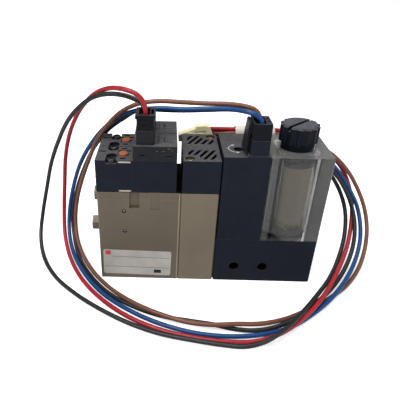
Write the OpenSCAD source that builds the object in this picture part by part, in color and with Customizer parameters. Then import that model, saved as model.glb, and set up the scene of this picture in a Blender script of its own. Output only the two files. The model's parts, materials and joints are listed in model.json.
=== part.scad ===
// Compact vacuum ejector unit: a metal supply and ejector body with twin pilot
// valves, a silencer, a vacuum switch, a suction filter and a lead harness.
// X runs along the length, Y from the front face to the rear, Z up.

/* [Metal body] */
// Length of the supply valve body
valve_body_l = 28; // [26:0.5:36]
// Length of the ejector body
ejector_l = 12.6; // [11.5:0.1:18]
// Depth of the metal bodies, the pilot valves and the silencer
body_d = 23; // [21:0.5:28]
// Height of the metal bodies
body_h = 36; // [34:0.5:44]
// Width of the V groove where the two metal bodies meet
seam_groove = 0.8; // [0.4:0.1:1.2]
// Bore of the main valve chambers
chamber_d = 6.4; // [5.6:0.1:7]
// Thickness of the plate gasket under the pilot valves
gasket_t = 0.4; // [0.3:0.1:0.8]

/* [Pilot valves] */
// Length of each pilot valve
pilot_l = 26.4; // [25:0.2:27.2]
// Height of the pilot valve body
pilot_h = 11.2; // [10.5:0.1:14]
// Gap between the two pilot valves
pilot_gap = 0.3; // [0.2:0.1:0.6]
// Length of the head that carries the manual override
head_l = 12; // [11.4:0.2:13]
// Height of the coil cover above the head
cover_h = 5; // [4.6:0.1:8]
// Wall of the coil housing
coil_wall = 1.1; // [0.9:0.1:1.4]
// Diameter of the coil winding
coil_d = 8.4; // [7.4:0.1:8.6]
// Diameter of the armature
armature_d = 3.5; // [3:0.1:4]
// Travel of the armature
armature_travel = 0.5; // [0.3:0.1:0.8]
// Diameter of the manual override button
override_d = 3.2; // [2.4:0.1:3.4]
// Height of the override button above the head
override_rise = 0.5; // [0.5:0.05:1]
// Travel of the override button
override_travel = 0.5; // [0.3:0.1:0.6]
// Head diameter of the valve screws
valve_screw_head_d = 3.2; // [2.8:0.1:3.4]
// Shank diameter of the valve screws
valve_screw_d = 1.7; // [1.5:0.1:2]

/* [Silencer] */
// Gap between the pilot valves and the silencer cover
silencer_gap = 0.4; // [0.2:0.1:1]
// Height of the silencer cover
silencer_h = 11.8; // [11:0.2:15]
// Wall of the silencer cover
silencer_wall = 1.2; // [1:0.1:1.6]
// Width of one louvre slot
louvre_w = 1.05; // [0.7:0.05:1.1]
// Spacing of the louvre slots along the length
louvre_pitch = 2.35; // [2.1:0.05:2.8]
// Angle of the louvre slots from the length axis
louvre_angle = 62; // [50:1:70]

/* [Vacuum switch and base] */
// Gap between the metal body and the switch, filled by a gasket at the base
switch_gap = 0.5; // [0.3:0.1:1]
// Length of the sensor half of the switch
sensor_l = 7.2; // [6.8:0.1:10]
// Length of the connector half of the switch
connector_l = 7.8; // [7.6:0.1:10]
// Depth of the switch, the filter and the base block
block_d = 20; // [19.6:0.2:23]
// Height of the base block
base_h = 18; // [17:0.5:20]
// Height of the switch and the filter case above the base
block_h = 31.4; // [30:0.2:38]
// Wall of the switch case
switch_wall = 1.2; // [1:0.1:1.6]
// Diameter of the trimmer access hole
trimmer_hole_d = 3.2; // [2.6:0.1:3.4]
// Diameter of the mounting holes
mount_hole_d = 3.5; // [3.2:0.1:4.3]
// Spacing of the two mounting holes
mount_pitch = 10.2; // [9:0.2:14]
// Height of the mounting holes above the foot
mount_z = 6.4; // [5.5:0.1:6.8]
// Bore of the vacuum port
port_d = 8.6; // [6:0.1:8.8]
// Depth of the vacuum port
port_l = 7; // [5:0.5:7]

/* [Filter] */
// Length of the filter case
filter_l = 19.9; // [19:0.1:26]
// Width of the square filter cavity
cavity_w = 13.4; // [12.4:0.1:14]
// Diameter of the filter element
element_d = 11.6; // [8:0.1:11.8]
// Length of the filter element
element_l = 24; // [18:0.5:24.5]
// Diameter over the ribs of the knob
knob_d = 12.6; // [10.5:0.1:13.2]
// Height of the knob above the case
knob_h = 8; // [6:0.1:12]
// Number of ribs around the knob
knob_ribs = 14; // [10:1:18]
// Diameter of the knob's stud
stud_d = 3; // [2.5:0.1:3.5]

/* [Connectors] */
// Width of the valve plug along the length of the unit
valve_plug_w = 5.4; // [5:0.1:5.8]
// Depth of the valve plug
valve_plug_d = 7.8; // [7:0.1:8.4]
// Height of the valve socket above the coil cover
valve_socket_h = 4.6; // [3.6:0.1:6]
// Height of the valve plug above its socket
valve_plug_h = 5; // [4:0.1:6]
// Width of the switch plug along the length of the unit
switch_plug_w = 5.8; // [5.2:0.1:6]
// Depth of the switch plug
switch_plug_d = 7.7; // [7:0.1:8.4]
// Height of the switch socket above the switch
switch_socket_h = 5.4; // [4.5:0.1:6]
// Height of the switch plug above its socket
switch_plug_h = 5.5; // [4:0.1:7]
// Outer diameter of the leads
lead_d = 1.55; // [1.3:0.05:1.8]

/* [Hidden] */
$fn = 48;

eps = 0.01;           // overshoot of a cut past a face
run = 0.05;           // radial running clearance of sliding and turning pieces
seat = 0.05;          // clearance of a fixed piece in its pocket
edge = 0.3;           // small chamfer of machined and moulded edges

// Places along the length
metal_l = valve_body_l + ejector_l;
base_x = metal_l + switch_gap;
housing_x = base_x + sensor_l;
filter_x = housing_x + connector_l;
total_l = filter_x + filter_l;
silencer_x = valve_body_l + silencer_gap;
silencer_l = metal_l - silencer_x;

// Heights
valve_z = body_h + gasket_t;
head_top = valve_z + pilot_h;
cover_top = head_top + cover_h;
silencer_top = body_h + silencer_h;
block_top = base_h + block_h;

// Depths
mid_y = body_d / 2;
block_y = block_d / 2;
pilot_w = (body_d - pilot_gap) / 2;
rear_pilot_y = pilot_w + pilot_gap;
lead_r = lead_d / 2;

// Ports on the left end
low_plug_rise = 3.8;  // how far the lower hexagon plug stands out
high_plug_rise = 2.4; // how far the upper hexagon plug stands out
plug_flats = 5;
plug_thread_d = 4.2;
low_port_z = 16.8;
high_port_z = 29.4;

// The origin is the middle of the foot
x_mid = (total_l - low_plug_rise) / 2;
y_mid = max(body_d, block_d) / 2;

// Main valve chambers and passages
supply_x = 10;
release_x = 20.4;
chamber_floor = 4;
feed_z = 5;
passage_d = 3;
nozzle_x = valve_body_l + ejector_l / 2;
nozzle_z = 7;
nozzle_flange_d = 5;
nozzle_flange_h = 2.5;
nozzle_l = 6.5;
nozzle_bore = 1;
suction_z = 11;
suction_d = 7;
diffuser_z = 15;
diffuser_d = 5.6;
diffuser_l = body_h - diffuser_z - 3;
spool_clear = 0.2;    // gap under the gasket above a raised spool
spool_h = 20;
spool_travel = 1.5;
spring_wire = 0.6;

// Assembly bolts along the length
bolt_d = 3;
bolt_head_d = 5.5;
bolt_head_h = 3;
bolt_end_x = base_x + 11;
bolt_z = 14.5;
bolt_y = [3.4, 16.8];

// Front details of the valve body
ball_d = 1.2;
ball_places = [[9, 28.8], [9.1, 20.7]];
plate_x = 1;
plate_z = 1.6;
plate_l = 24.4;
plate_h = 10.8;
plate_t = 0.12;
plate_turn = 1.2;     // the label was stuck on slightly askew
band_h = 2.5;         // shallow machined band under the gasket
band_t = 0.12;

// Valve screws, one at each side of the pilots and one between them
valve_screw_x = 5.1;
valve_screw_y = [1.9, mid_y, body_d - 1.9];
valve_screw_head_h = 1.3;
valve_screw_seat = head_top - 1.2;
valve_screw_l = 8;    // length below the gasket
notch_w = valve_screw_head_d + 0.3;
notch_reach = 3.7;

// Pilot internals
override_x = 8.9;
override_flange_d = override_d + 0.7;
override_flange_h = 0.7;
override_depth = 1.8; // from the head's top to the flange
clip_x = 7.5;
clip_w = 4;
clip_t = 0.4;
coil_floor = valve_z + 1.2;
bobbin_d = coil_d + 0.4;
coil_z = coil_floor + bobbin_d / 2 + seat;
coil_x = head_l + coil_wall + 0.3;
coil_end = pilot_l - coil_wall - 0.3;
core_x = 20.5;
armature_x = override_x + override_flange_d / 2 + 0.6;
armature_end = core_x - armature_travel - 0.1;
spring_pocket_d = 2.2;
spring_pocket_l = 4;
socket_x = 13.3;
socket_wall = 0.6;
socket_w = valve_plug_w + 0.4;
socket_d = valve_plug_d + 0.3;
socket_y = 1.2;       // from the pilot's front face
pin_w = 0.6;
pin_hold = 3;         // length of the pins in the coil cover

// Silencer screws at two corners
cover_screw_d = 1.6;
cover_screw_head_d = 2.5;
cover_screw_places = [[silencer_x + 2.2, 2.1], [metal_l - 2.1, body_d - 2.3]];
cover_boss_d = 3.8;
louvre_margin = 1.7;
bare_strip = 5.2;     // plain strip between the two louvre groups
screw_pad = [3.8, 3.3]; // unlouvred corner around each cover screw
silencer_roof = 1.4;
pad_floor = 2;        // height of the felt pad above the metal
pad_play = 0.4;       // gap between the pad and the roof

// Switch
trimmer_x = housing_x - 1.85;
trimmer_y = 6.7;
trimmer_recess = 1.1;  // depth of the trimmer's face below the case top
trimmer_head_d = trimmer_hole_d - 0.3;
trimmer_stem_d = 2;
board_t = 1;
board_x = housing_x - 0.6;
board_top = block_top - switch_wall - 1.4; // top of the board and of the potentiometer on it
switch_socket_x = housing_x + 0.9;
switch_socket_w = switch_plug_w + 0.2;
switch_socket_d = switch_plug_d + 0.3;
switch_socket_y = 0.35;
sense_x = base_x + sensor_l / 2;
hole_x = base_x + 7.1; // first mounting hole

// Filter
filter_mid_x = filter_x + filter_l / 2;
ceiling = 1;          // thickness of the case's top beside the knob boss
knob_boss_d = cavity_w - 0.2;
knob_boss_z = block_top - 3.6;
knob_recess_d = 11.4;
knob_recess_h = 1.5;
knob_base_d = 10.5;
knob_rib_z = block_top + 2.2;
insert_d = 4.6;
insert_l = 5.5;
stud_end = base_h - insert_l + 0.5;
element_z = base_h + 2.4;
cell_vent_d = 2.4;

// Plugs on the leads
valve_plug_z = cover_top + valve_socket_h;
valve_plug_top = valve_plug_z + valve_plug_h;
valve_entry_x = socket_x + socket_w / 2;
valve_entry_y = [socket_y + socket_d * 0.3, socket_y + socket_d * 0.7];
switch_socket_top = block_top + switch_socket_h;
switch_plug_top = switch_socket_top + switch_plug_h;
switch_entry_x = switch_socket_x + switch_socket_w / 2;
switch_entry_y = [for (i = [-1 : 1]) switch_socket_y + switch_socket_d / 2 + 2 * i];
entry_depth = 1.2;    // depth of each lead in its plug
valve_trough = 1.2;   // recess that the leads come out of, in the top of each plug
switch_trough = 1.7;

// Connector and sleeve on the far end of the leads, behind the silencer
end_l = 11;
end_d = 4;
end_h = 6.2;
end_x = silencer_x;
end_y = body_d + 0.1;
end_z = silencer_top - 3.1;
end_cell_y = [end_y + 1.2, end_y + 2.8];
end_cell_z = [for (i = [-1 : 1]) end_z + end_h / 2 + 1.7 * i];
end_depth = 1.8;      // depth of each lead in its cell
end_housing = [2, 3.4]; // distance of the low housing behind the hook, and its height
end_collar_l = 2.4;   // full-height part that the leads enter
// latch lever seen from the front, from the connector's low corner: hook, arm and press pad
end_lever = [[-1.1, 0], [-1.3, 2.4], [4.9, 4.9], [5, 5.6], [9.2, 6.2], [9.4, 4.5], [5.9, 3.9],
             [4.9, 3.9], [0.8, 2.1], [0.5, 0]];
end_lever_inset = 0.4;
sleeve_d = 5;
sleeve_bore = 4.4;
sleeve_l = 14;
sleeve_x = end_x + end_l + 8;
sleeve_y = body_d + 1.2;
sleeve_z = end_z + end_h / 2 + 0.5;
bundle_r = sleeve_bore / 2 - lead_r - 0.1; // circle that the five leads follow in the sleeve

// Free routes of the leads, from above each plug to the sleeve's mouth
red_points = [[16.2, 3.6, 62.6], [15.6, 4, 65.4], [13.6, 4.8, 67.6], [10.2, 6.2, 68.6], [5, 10, 68],
    [-0.2, 14.2, 65.2], [-5, 17.8, 60.4], [-9.2, 21.2, 54], [-12.8, 24.2, 46], [-15.4, 26.2, 36.4],
    [-16.8, 26.4, 25.4], [-17.4, 23.6, 15.2], [-16.6, 17.4, 7], [-13.2, 8.2, 2.6], [-6.8, -3, 1],
    [2, -13.6, 1], [12, -21.6, 1], [22.4, -26.8, 1], [33, -29.8, 1.2], [42.8, -31.4, 1.6],
    [50.4, -31.6, 2], [56.8, -29.8, 2.4], [63.4, -25.8, 2.6], [70.4, -20, 3.4], [77.6, -12, 4.6],
    [84.8, -1.6, 6.4], [91, 9.2, 9.4], [94.8, 18.4, 13.4], [96.2, 25, 18.4], [95, 28.8, 24.8],
    [91, 30.2, 32], [84.4, 29.8, 38.6], [76.8, 28.2, 43.9], [68.8, 26, 47.4]];
black_points = [[16, 6.8, 62.2], [14.8, 7.2, 64.2], [12.4, 8.2, 65.2], [9, 9.2, 66], [4.2, 10.4, 66],
    [-0.8, 12.2, 64.4], [-6, 14.8, 60.4], [-11.4, 18, 54], [-16.2, 21.4, 45.2], [-20.6, 24, 34.8],
    [-23.8, 25.2, 23.6], [-26, 23, 13.6], [-26.4, 17.4, 6.2], [-23.6, 8.8, 2.2], [-17.4, -1.2, 1],
    [-8.2, -10.6, 1], [2.2, -18.4, 1], [12.8, -24.6, 1], [22.6, -28.8, 1.4], [32.6, -31.6, 2],
    [41, -33.4, 2.4], [47.8, -34.4, 3], [53.6, -33.2, 3.8], [60, -29, 4.4], [67, -22, 4.6],
    [74.6, -12.8, 4.4], [82.4, -2.6, 5], [88.4, 7.6, 7.4], [92.2, 16.4, 11.6], [93.2, 23, 17.2],
    [91.2, 27.2, 23.4], [87, 29.2, 29.6], [81, 29.4, 35.6], [74.4, 28.7, 41], [68, 27.8, 46.5]];
brown_points = [[51.8, 6.4, 60.8], [50.6, 6.8, 62.4], [48.4, 7.6, 63.2], [42.6, 11, 63],
    [35.4, 13.2, 62.4], [27.8, 14.8, 62.2], [20.2, 16.2, 62], [13.4, 17, 60.8], [7.6, 17.8, 57.8],
    [2.6, 18.8, 52.8], [-2.2, 20.2, 45.8], [-5.8, 21.8, 37.4], [-9.2, 22.8, 28.4], [-11.6, 22.2, 19.8],
    [-12.2, 18.8, 12], [-10.2, 12, 5.8], [-5, 3.2, 2.2], [3, -6.8, 1.4], [12.8, -16, 2.4],
    [22.6, -21.8, 2.8], [31.2, -24.8, 2.8], [38.8, -25.8, 3], [46.2, -25, 2.8], [54.2, -23.6, 1.8],
    [62.4, -20.6, 1], [71.2, -16, 1], [80, -10.2, 1], [88.6, -3, 1.2], [95.6, 5.4, 2.8],
    [100.2, 13.8, 6.4], [102.2, 20.8, 11.4], [101.4, 25.8, 17.6], [97.8, 28.2, 24.8], [92, 28.2, 32.6],
    [83.8, 26.6, 39.9], [73.2, 24.2, 45.6]];
blue_points = [[51.8, 2.4, 60.6], [50.6, 2.8, 62], [48.4, 3.6, 62.8], [42.6, 8, 62.4],
    [35.8, 11, 61.4], [28.4, 13, 60.4], [21, 15, 60], [13.8, 17.2, 58.6], [7, 19.4, 55.6],
    [0.8, 21.4, 50.4], [-4.8, 23.4, 43.2], [-9.6, 25, 34.6], [-13, 25.4, 25], [-15, 23.4, 15.8],
    [-15, 18.4, 8.4], [-12.4, 10.2, 4.2], [-6.8, 0, 2.2], [1.6, -10.4, 1.2], [11.8, -18.4, 1],
    [22, -24, 1], [32.2, -27.4, 1], [41.6, -29, 1.4], [50, -28.8, 1.6], [57.4, -27.2, 1.6],
    [64.6, -23.8, 1.2], [72, -18.6, 1.4], [80, -11.8, 2.2], [87.4, -3.6, 3.8], [93.4, 5.2, 6.2],
    [97.2, 13.2, 10], [98.4, 19.6, 14.4], [97.4, 23.8, 19.4], [94, 26.2, 25.2], [89, 26.8, 31.8],
    [81.8, 26.2, 38.5], [72, 25.2, 44]];
signal_points = [[51.8, 4.4, 60.4], [50.6, 4.8, 61.8], [48.4, 5.6, 62.4], [43, 10, 61.6],
    [36, 12.8, 60.4], [28.4, 14.8, 59.4], [21, 16.8, 58.8], [14, 18.9, 58.3], [7.6, 21.2, 54],
    [1.6, 23.8, 48.6], [-3.8, 25.2, 41.4], [-8.2, 25, 32.8], [-11.8, 24.4, 23.2], [-13.6, 21.8, 14.4],
    [-12.8, 16.6, 7.2], [-9.6, 8.2, 2.6], [-3.4, -1.8, 1], [4.8, -11, 1], [14.4, -17.2, 1],
    [23.6, -20.8, 1], [31.8, -22.6, 1.2], [38.8, -24, 1.4], [45.8, -25.4, 1], [52.6, -25.8, 1],
    [59.8, -24, 1.2], [67.4, -20, 2], [75.6, -13.2, 2.8], [83.4, -5.2, 3.6], [89.8, 3.2, 6],
    [94, 11, 9.8], [95.6, 17.4, 14.6], [94.8, 22, 19.8], [91.8, 24.6, 25.8], [86.8, 25.2, 32.2],
    [79.8, 24.6, 38.5], [71, 23.6, 44]];

// One ring of the tube every three lead diameters
ring_pitch = 3 * lead_d;
ring_sides = 8;

// ---------------------------------------------------------------- helpers

// Moves a piece from the corner of the front left foot to the origin
module placed() translate([-x_mid, -y_mid, 0]) children();

// Cylinder along X from x to x + l
module rod_x(x, y, z, d, l) translate([x, y, z]) rotate([0, 90, 0]) cylinder(d = d, h = l);

// Cylinder along Y from y to y + l
module rod_y(x, y, z, d, l) translate([x, y, z]) rotate([-90, 0, 0]) cylinder(d = d, h = l);

// Cylinder along Z from z to z + l
module rod_z(x, y, z, d, l) translate([x, y, z]) cylinder(d = d, h = l);

// Box from its low corner
module block(x, y, z, l, d, h) translate([x, y, z]) cube([l, d, h]);

// Flat rectangle with round corners
module round_rect(l, d, r) {
    translate([r, 0]) square([l - 2 * r, d]);
    translate([0, r]) square([l, d - 2 * r]);
    for (x = [r, l - r], y = [r, d - r]) translate([x, y]) circle(r);
}

// Block with round vertical corners
module round_block(x, y, z, l, d, h, r)
    translate([x, y, z]) linear_extrude(h) round_rect(l, d, r);

// Block with chamfered vertical corners, c = [front left, front right, rear right, rear left]
module chamfered_block(x, y, z, l, d, h, c)
    translate([x, y, z]) linear_extrude(h)
        polygon([[c[0], 0], [l - c[1], 0], [l, c[1]], [l, d - c[2]], [l - c[2], d],
                 [c[3], d], [0, d - c[3]], [0, c[0]]]);

// Cross recess of a small screw, cut down from z
module cross_recess(x, y, z, w, t, h)
    for (a = [45, 135]) translate([x, y, z - h]) rotate([0, 0, a])
        translate([-w / 2, -t / 2, 0]) cube([w, t, h + eps]);

// Low domed screw head standing on z = 0
module screw_head(d, h) {
    rim = h * 0.55;
    cylinder(d = d, h = rim);
    translate([0, 0, rim]) rotate_extrude()
        polygon([[0, 0], [d / 2, 0], [d * 0.44, (h - rim) * 0.6], [d * 0.3, h - rim], [0, h - rim]]);
}

// Coil spring along Z standing on z = 0, swept from its wire
module coil_spring(d, h, wire, turns) {
    sides = 5;
    steps = 10;
    n = turns * steps;
    r = (d - wire) / 2;
    lift = h - wire;
    function centre(i) = [r * cos(360 * i / steps), r * sin(360 * i / steps), wire / 2 + lift * i / n];
    points = [for (i = [0 : n], k = [0 : sides - 1])
        let (a = 360 * i / steps, b = 360 * k / sides, p = centre(i))
        p + wire / 2 * [cos(b) * cos(a), cos(b) * sin(a), sin(b)]];
    walls = [for (i = [0 : n - 1], k = [0 : sides - 1])
        let (a = i * sides + k, b = i * sides + (k + 1) % sides)
        each [[a, b, b + sides], [a, b + sides, a + sides]]];
    first = [for (k = [0 : sides - 1]) sides - 1 - k];
    last = [for (k = [0 : sides - 1]) n * sides + k];
    polyhedron(points = points, faces = concat([first], walls, [last]), convexity = 8);
}

// ------------------------------------------------------------- metal body

module bolt_holes(x, l, d) for (y = bolt_y) rod_x(x, y, bolt_z, d, l);

module valve_body() {
    chamber_h = body_h - chamber_floor;
    pocket_l = 3.5;
    pocket_h = 6;
    pocket_t = 1.2;
    panel_l = 3.6;
    panel_h = 6.4;
    panel_t = 0.3;
    supply_side = supply_x - chamber_d / 2;
    placed() color([0.47, 0.44, 0.38]) difference() {
        chamfered_block(0, 0, 0, valve_body_l, body_d, body_h,
                        [edge, seam_groove / 2, seam_groove / 2, edge]);
        for (x = [supply_x, release_x])
            rod_z(x, mid_y, chamber_floor, chamber_d, chamber_h + eps);
        for (z = [low_port_z, high_port_z])
            rod_x(-eps, mid_y, z, plug_thread_d, supply_side + 1);
        rod_x(supply_x, mid_y, feed_z, passage_d, valve_body_l - supply_x + eps);
        bolt_holes(-eps, valve_body_l + 2 * eps, bolt_d + 2 * seat);
        bolt_holes(-eps, bolt_head_h + eps, bolt_head_d + 2 * seat);
        for (y = valve_screw_y)
            rod_z(valve_screw_x, y, body_h - valve_screw_l, valve_screw_d, valve_screw_l + eps);
        // drilled control passages, each closed by a pressed ball
        for (p = ball_places) {
            rod_y(p[0], -eps, p[1], ball_d, ball_d + eps);
            rod_y(p[0], 0, p[1], ball_d * 0.7, mid_y);
        }
        // control grooves from the pilots to the chambers
        block(supply_x - 0.5, pilot_w / 2, body_h - 1, 1, mid_y - pilot_w / 2, 1 + eps);
        block(release_x - 0.5, mid_y, body_h - 1, 1, rear_pilot_y + pilot_w / 2 - mid_y, 1 + eps);
        // latch pocket, inset panel and machined band on the front
        block(10.8, -eps, body_h - pocket_h, pocket_l, pocket_t + eps, pocket_h + eps);
        block(17.8, -eps, body_h - panel_h, panel_l, panel_t + eps, panel_h + eps);
        block(-eps, -eps, body_h - band_h, valve_body_l + 2 * eps, band_t + eps, band_h + eps);
        // seat of the nameplate
        turned_plate() block(plate_x - seat, -eps, plate_z - seat, plate_l + 2 * seat,
                             plate_t + 0.03 + eps, plate_h + 2 * seat);
    }
}

module ejector_body() {
    placed() color([0.47, 0.44, 0.38]) difference() {
        chamfered_block(valve_body_l, 0, 0, ejector_l, body_d, body_h,
                        [seam_groove / 2, edge, edge, seam_groove / 2]);
        rod_x(valve_body_l - eps, mid_y, feed_z, passage_d, ejector_l / 2 + eps);
        rod_z(nozzle_x, mid_y, feed_z, passage_d, nozzle_z - feed_z + eps);
        rod_z(nozzle_x, mid_y, nozzle_z, nozzle_flange_d + 2 * seat, nozzle_flange_h + eps);
        rod_z(nozzle_x, mid_y, nozzle_z + nozzle_flange_h, suction_d,
              diffuser_z - nozzle_z - nozzle_flange_h);
        rod_z(nozzle_x, mid_y, diffuser_z - eps, diffuser_d + 2 * seat, diffuser_l + 2 * eps);
        rod_z(nozzle_x, mid_y, diffuser_z + diffuser_l, suction_d, body_h - diffuser_z - diffuser_l + eps);
        rod_x(nozzle_x, mid_y, suction_z, passage_d, ejector_l / 2 + eps);
        bolt_holes(valve_body_l - eps, ejector_l + 2 * eps, bolt_d + 2 * seat);
        for (p = cover_screw_places)
            rod_z(p[0], p[1], body_h - valve_screw_l, cover_screw_d, valve_screw_l + eps);
        block(valve_body_l - eps, mid_y - 4, feed_z - 3.5, 0.8 + eps, 8, 7);
    }
}

module feed_seal() {
    placed() color([0.1, 0.1, 0.1]) difference() {
        block(valve_body_l, mid_y - 4 + seat, feed_z - 3.5 + seat, 0.8, 8 - 2 * seat, 7 - 2 * seat);
        rod_x(valve_body_l - eps, mid_y, feed_z, passage_d, 0.8 + 2 * eps);
    }
}

module nozzle() {
    tip_d = 3;
    placed() color([0.72, 0.6, 0.32]) translate([nozzle_x, mid_y, nozzle_z]) rotate_extrude()
        polygon([[passage_d / 2, 0], [nozzle_flange_d / 2, 0], [nozzle_flange_d / 2, nozzle_flange_h],
                 [tip_d / 2, nozzle_flange_h + 0.5], [tip_d / 2 - 0.5, nozzle_l],
                 [nozzle_bore / 2, nozzle_l], [nozzle_bore / 2, nozzle_l - 1.5]]);
}

module diffuser() {
    mouth_d = 3.6;
    throat_d = 1.8;
    placed() color([0.72, 0.6, 0.32]) translate([nozzle_x, mid_y, diffuser_z]) rotate_extrude()
        polygon([[mouth_d / 2, 0], [diffuser_d / 2, 0], [diffuser_d / 2, diffuser_l],
                 [mouth_d / 2, diffuser_l], [throat_d / 2, diffuser_l * 0.45],
                 [throat_d / 2, diffuser_l * 0.25]]);
}

module hex_plug(z, rise) {
    thread_l = 4;
    socket_d = 1.6;
    difference() {
        union() {
            translate([-rise, mid_y, z]) rotate([0, 90, 0])
                cylinder(d = plug_flats / cos(30), h = rise, $fn = 6);
            rod_x(-eps, mid_y, z, plug_thread_d - 2 * seat, thread_l);
        }
        rod_x(-rise - eps, mid_y, z, socket_d, rise / 2);
    }
}

module port_plugs() {
    placed() color([0.62, 0.6, 0.56]) {
        hex_plug(low_port_z, low_plug_rise);
        hex_plug(high_port_z, high_plug_rise);
    }
}

module pressed_balls() {
    placed() color([0.6, 0.58, 0.52]) for (p = ball_places)
        translate([p[0], ball_d / 2 + 0.1, p[1]]) sphere(d = ball_d - 0.02);
}

// Turns the label, or its seat, about its middle
module turned_plate()
    translate([plate_x + plate_l / 2, 0, plate_z + plate_h / 2]) rotate([0, plate_turn, 0])
        translate([-plate_x - plate_l / 2, 0, -plate_z - plate_h / 2]) children();

module nameplate() {
    placed() color([0.66, 0.65, 0.62])
        turned_plate() translate([plate_x, plate_t + 0.02, plate_z]) rotate([90, 0, 0])
            linear_extrude(plate_t) round_rect(plate_l, plate_h, 0.8);
}

module assembly_bolts() {
    placed() color([0.3, 0.3, 0.32]) for (y = bolt_y) difference() {
        union() {
            rod_x(0.1, y, bolt_z, bolt_head_d, bolt_head_h - 0.1);
            rod_x(bolt_head_h - eps, y, bolt_z, bolt_d, bolt_end_x - bolt_head_h);
        }
        translate([0, y, bolt_z]) rotate([0, 90, 0]) cylinder(d = bolt_d, h = 1.6, $fn = 6);
    }
}

module spool(x) {
    d = chamber_d - 2 * run;
    land = 4;
    waist_d = d - 2.4;
    top = body_h - spool_clear;
    translate([x, mid_y, top - spool_h]) {
        cylinder(d = d, h = land);
        translate([0, 0, land - eps]) cylinder(d = waist_d, h = spool_h - 2 * land + 2 * eps);
        translate([0, 0, spool_h - land]) cylinder(d = d, h = land);
    }
}

module spool_spring(x)
    translate([x, mid_y, chamber_floor])
        coil_spring(chamber_d - 1, body_h - spool_clear - spool_h - chamber_floor, spring_wire, 6);

module supply_spool() { placed() color([0.7, 0.7, 0.7]) spool(supply_x); }
module release_spool() { placed() color([0.7, 0.7, 0.7]) spool(release_x); }
module supply_spring() { placed() color([0.6, 0.6, 0.62]) spool_spring(supply_x); }
module release_spring() { placed() color([0.6, 0.6, 0.62]) spool_spring(release_x); }

// ----------------------------------------------------------- pilot valves

module valve_gasket() {
    inset = 0.3;
    placed() color([0.08, 0.08, 0.08]) difference() {
        block(inset, inset, body_h, pilot_l - 2 * inset, body_d - 2 * inset, gasket_t);
        for (y = valve_screw_y)
            rod_z(valve_screw_x, y, body_h - eps, valve_screw_d + 0.3, gasket_t + 2 * eps);
        rod_z(supply_x, pilot_w / 2, body_h - eps, 1, gasket_t + 2 * eps);
        rod_z(release_x, rear_pilot_y + pilot_w / 2, body_h - eps, 1, gasket_t + 2 * eps);
    }
}

// Screw notch: a slot across the pilots' edges with a flat seat, and the shank's hole below
module screw_notch(y, low, high) {
    translate([valve_screw_x, y, valve_screw_seat]) linear_extrude(body_h) {
        translate([-notch_w / 2, -low]) square([notch_w, low + high]);
        for (s = [-low, high]) translate([0, s]) circle(d = notch_w);
    }
    rod_z(valve_screw_x, y, valve_z - eps, valve_screw_d + 0.3, pilot_h);
}

module pilot_body(y0) {
    yc = y0 + pilot_w / 2;
    straight = notch_reach - notch_w / 2;
    well_z = coil_floor;
    dimple_l = 1.8;
    dimple_d = 0.9;
    dimple_t = 0.5;
    flange_z = head_top - override_depth - override_flange_h - override_travel - 0.1;
    difference() {
        block(0, y0, valve_z, pilot_l, pilot_w, pilot_h);
        // coil well, open to the cover above
        block(head_l + coil_wall, y0 + coil_wall, well_z, pilot_l - head_l - 2 * coil_wall,
              pilot_w - 2 * coil_wall, pilot_h);
        // armature bore and pilot ports
        rod_x(armature_x - 0.2, yc, coil_z, armature_d + 2 * run,
              head_l + coil_wall - armature_x + 0.2 + eps);
        rod_z(override_x, yc, valve_z - eps, 1, 3);
        // override bore, its flange bore and the finger recess around it
        rod_z(override_x, yc, flange_z, override_d + 2 * run, pilot_h);
        rod_z(override_x, yc, valve_z + 2.6, override_flange_d + 0.1,
              head_top - override_depth - valve_z - 2.6);
        block(override_x - 1.9, yc - 2.5, head_top - 0.35, 4.3, 5, 1);
        for (s = [-3.9, 3.9])
            block(override_x - dimple_l / 2, yc + s - dimple_d / 2, head_top - dimple_t, dimple_l,
                  dimple_d, dimple_t + eps);
        // marking slot at the end of the head
        block(0.6, yc + 1.2, head_top - 0.5, 2.4, 0.8, 1);
        screw_notch(valve_screw_y[0], 2 * straight, straight);
        screw_notch(valve_screw_y[1], straight, straight);
        screw_notch(valve_screw_y[2], straight, 2 * straight);
        // slot of the clip plate, with a window at its top and bottom
        block(clip_x - seat, y0 + 0.45, valve_z - eps, clip_w + 2 * seat, clip_t + 2 * seat, pilot_h - 0.25);
        for (z = [valve_z - eps, head_top - 0.85])
            block(clip_x - seat, y0 - eps, z, clip_w + 2 * seat, 0.5, 0.6);
        // vertical parting line between the head and the coil
        block(head_l, y0 - eps, valve_z - eps, 0.2, 0.12, pilot_h + 2 * eps);
    }
}

module front_pilot_body() { placed() color([0.14, 0.15, 0.18]) pilot_body(0); }
module rear_pilot_body() { placed() color([0.14, 0.15, 0.18]) pilot_body(rear_pilot_y); }

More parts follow.
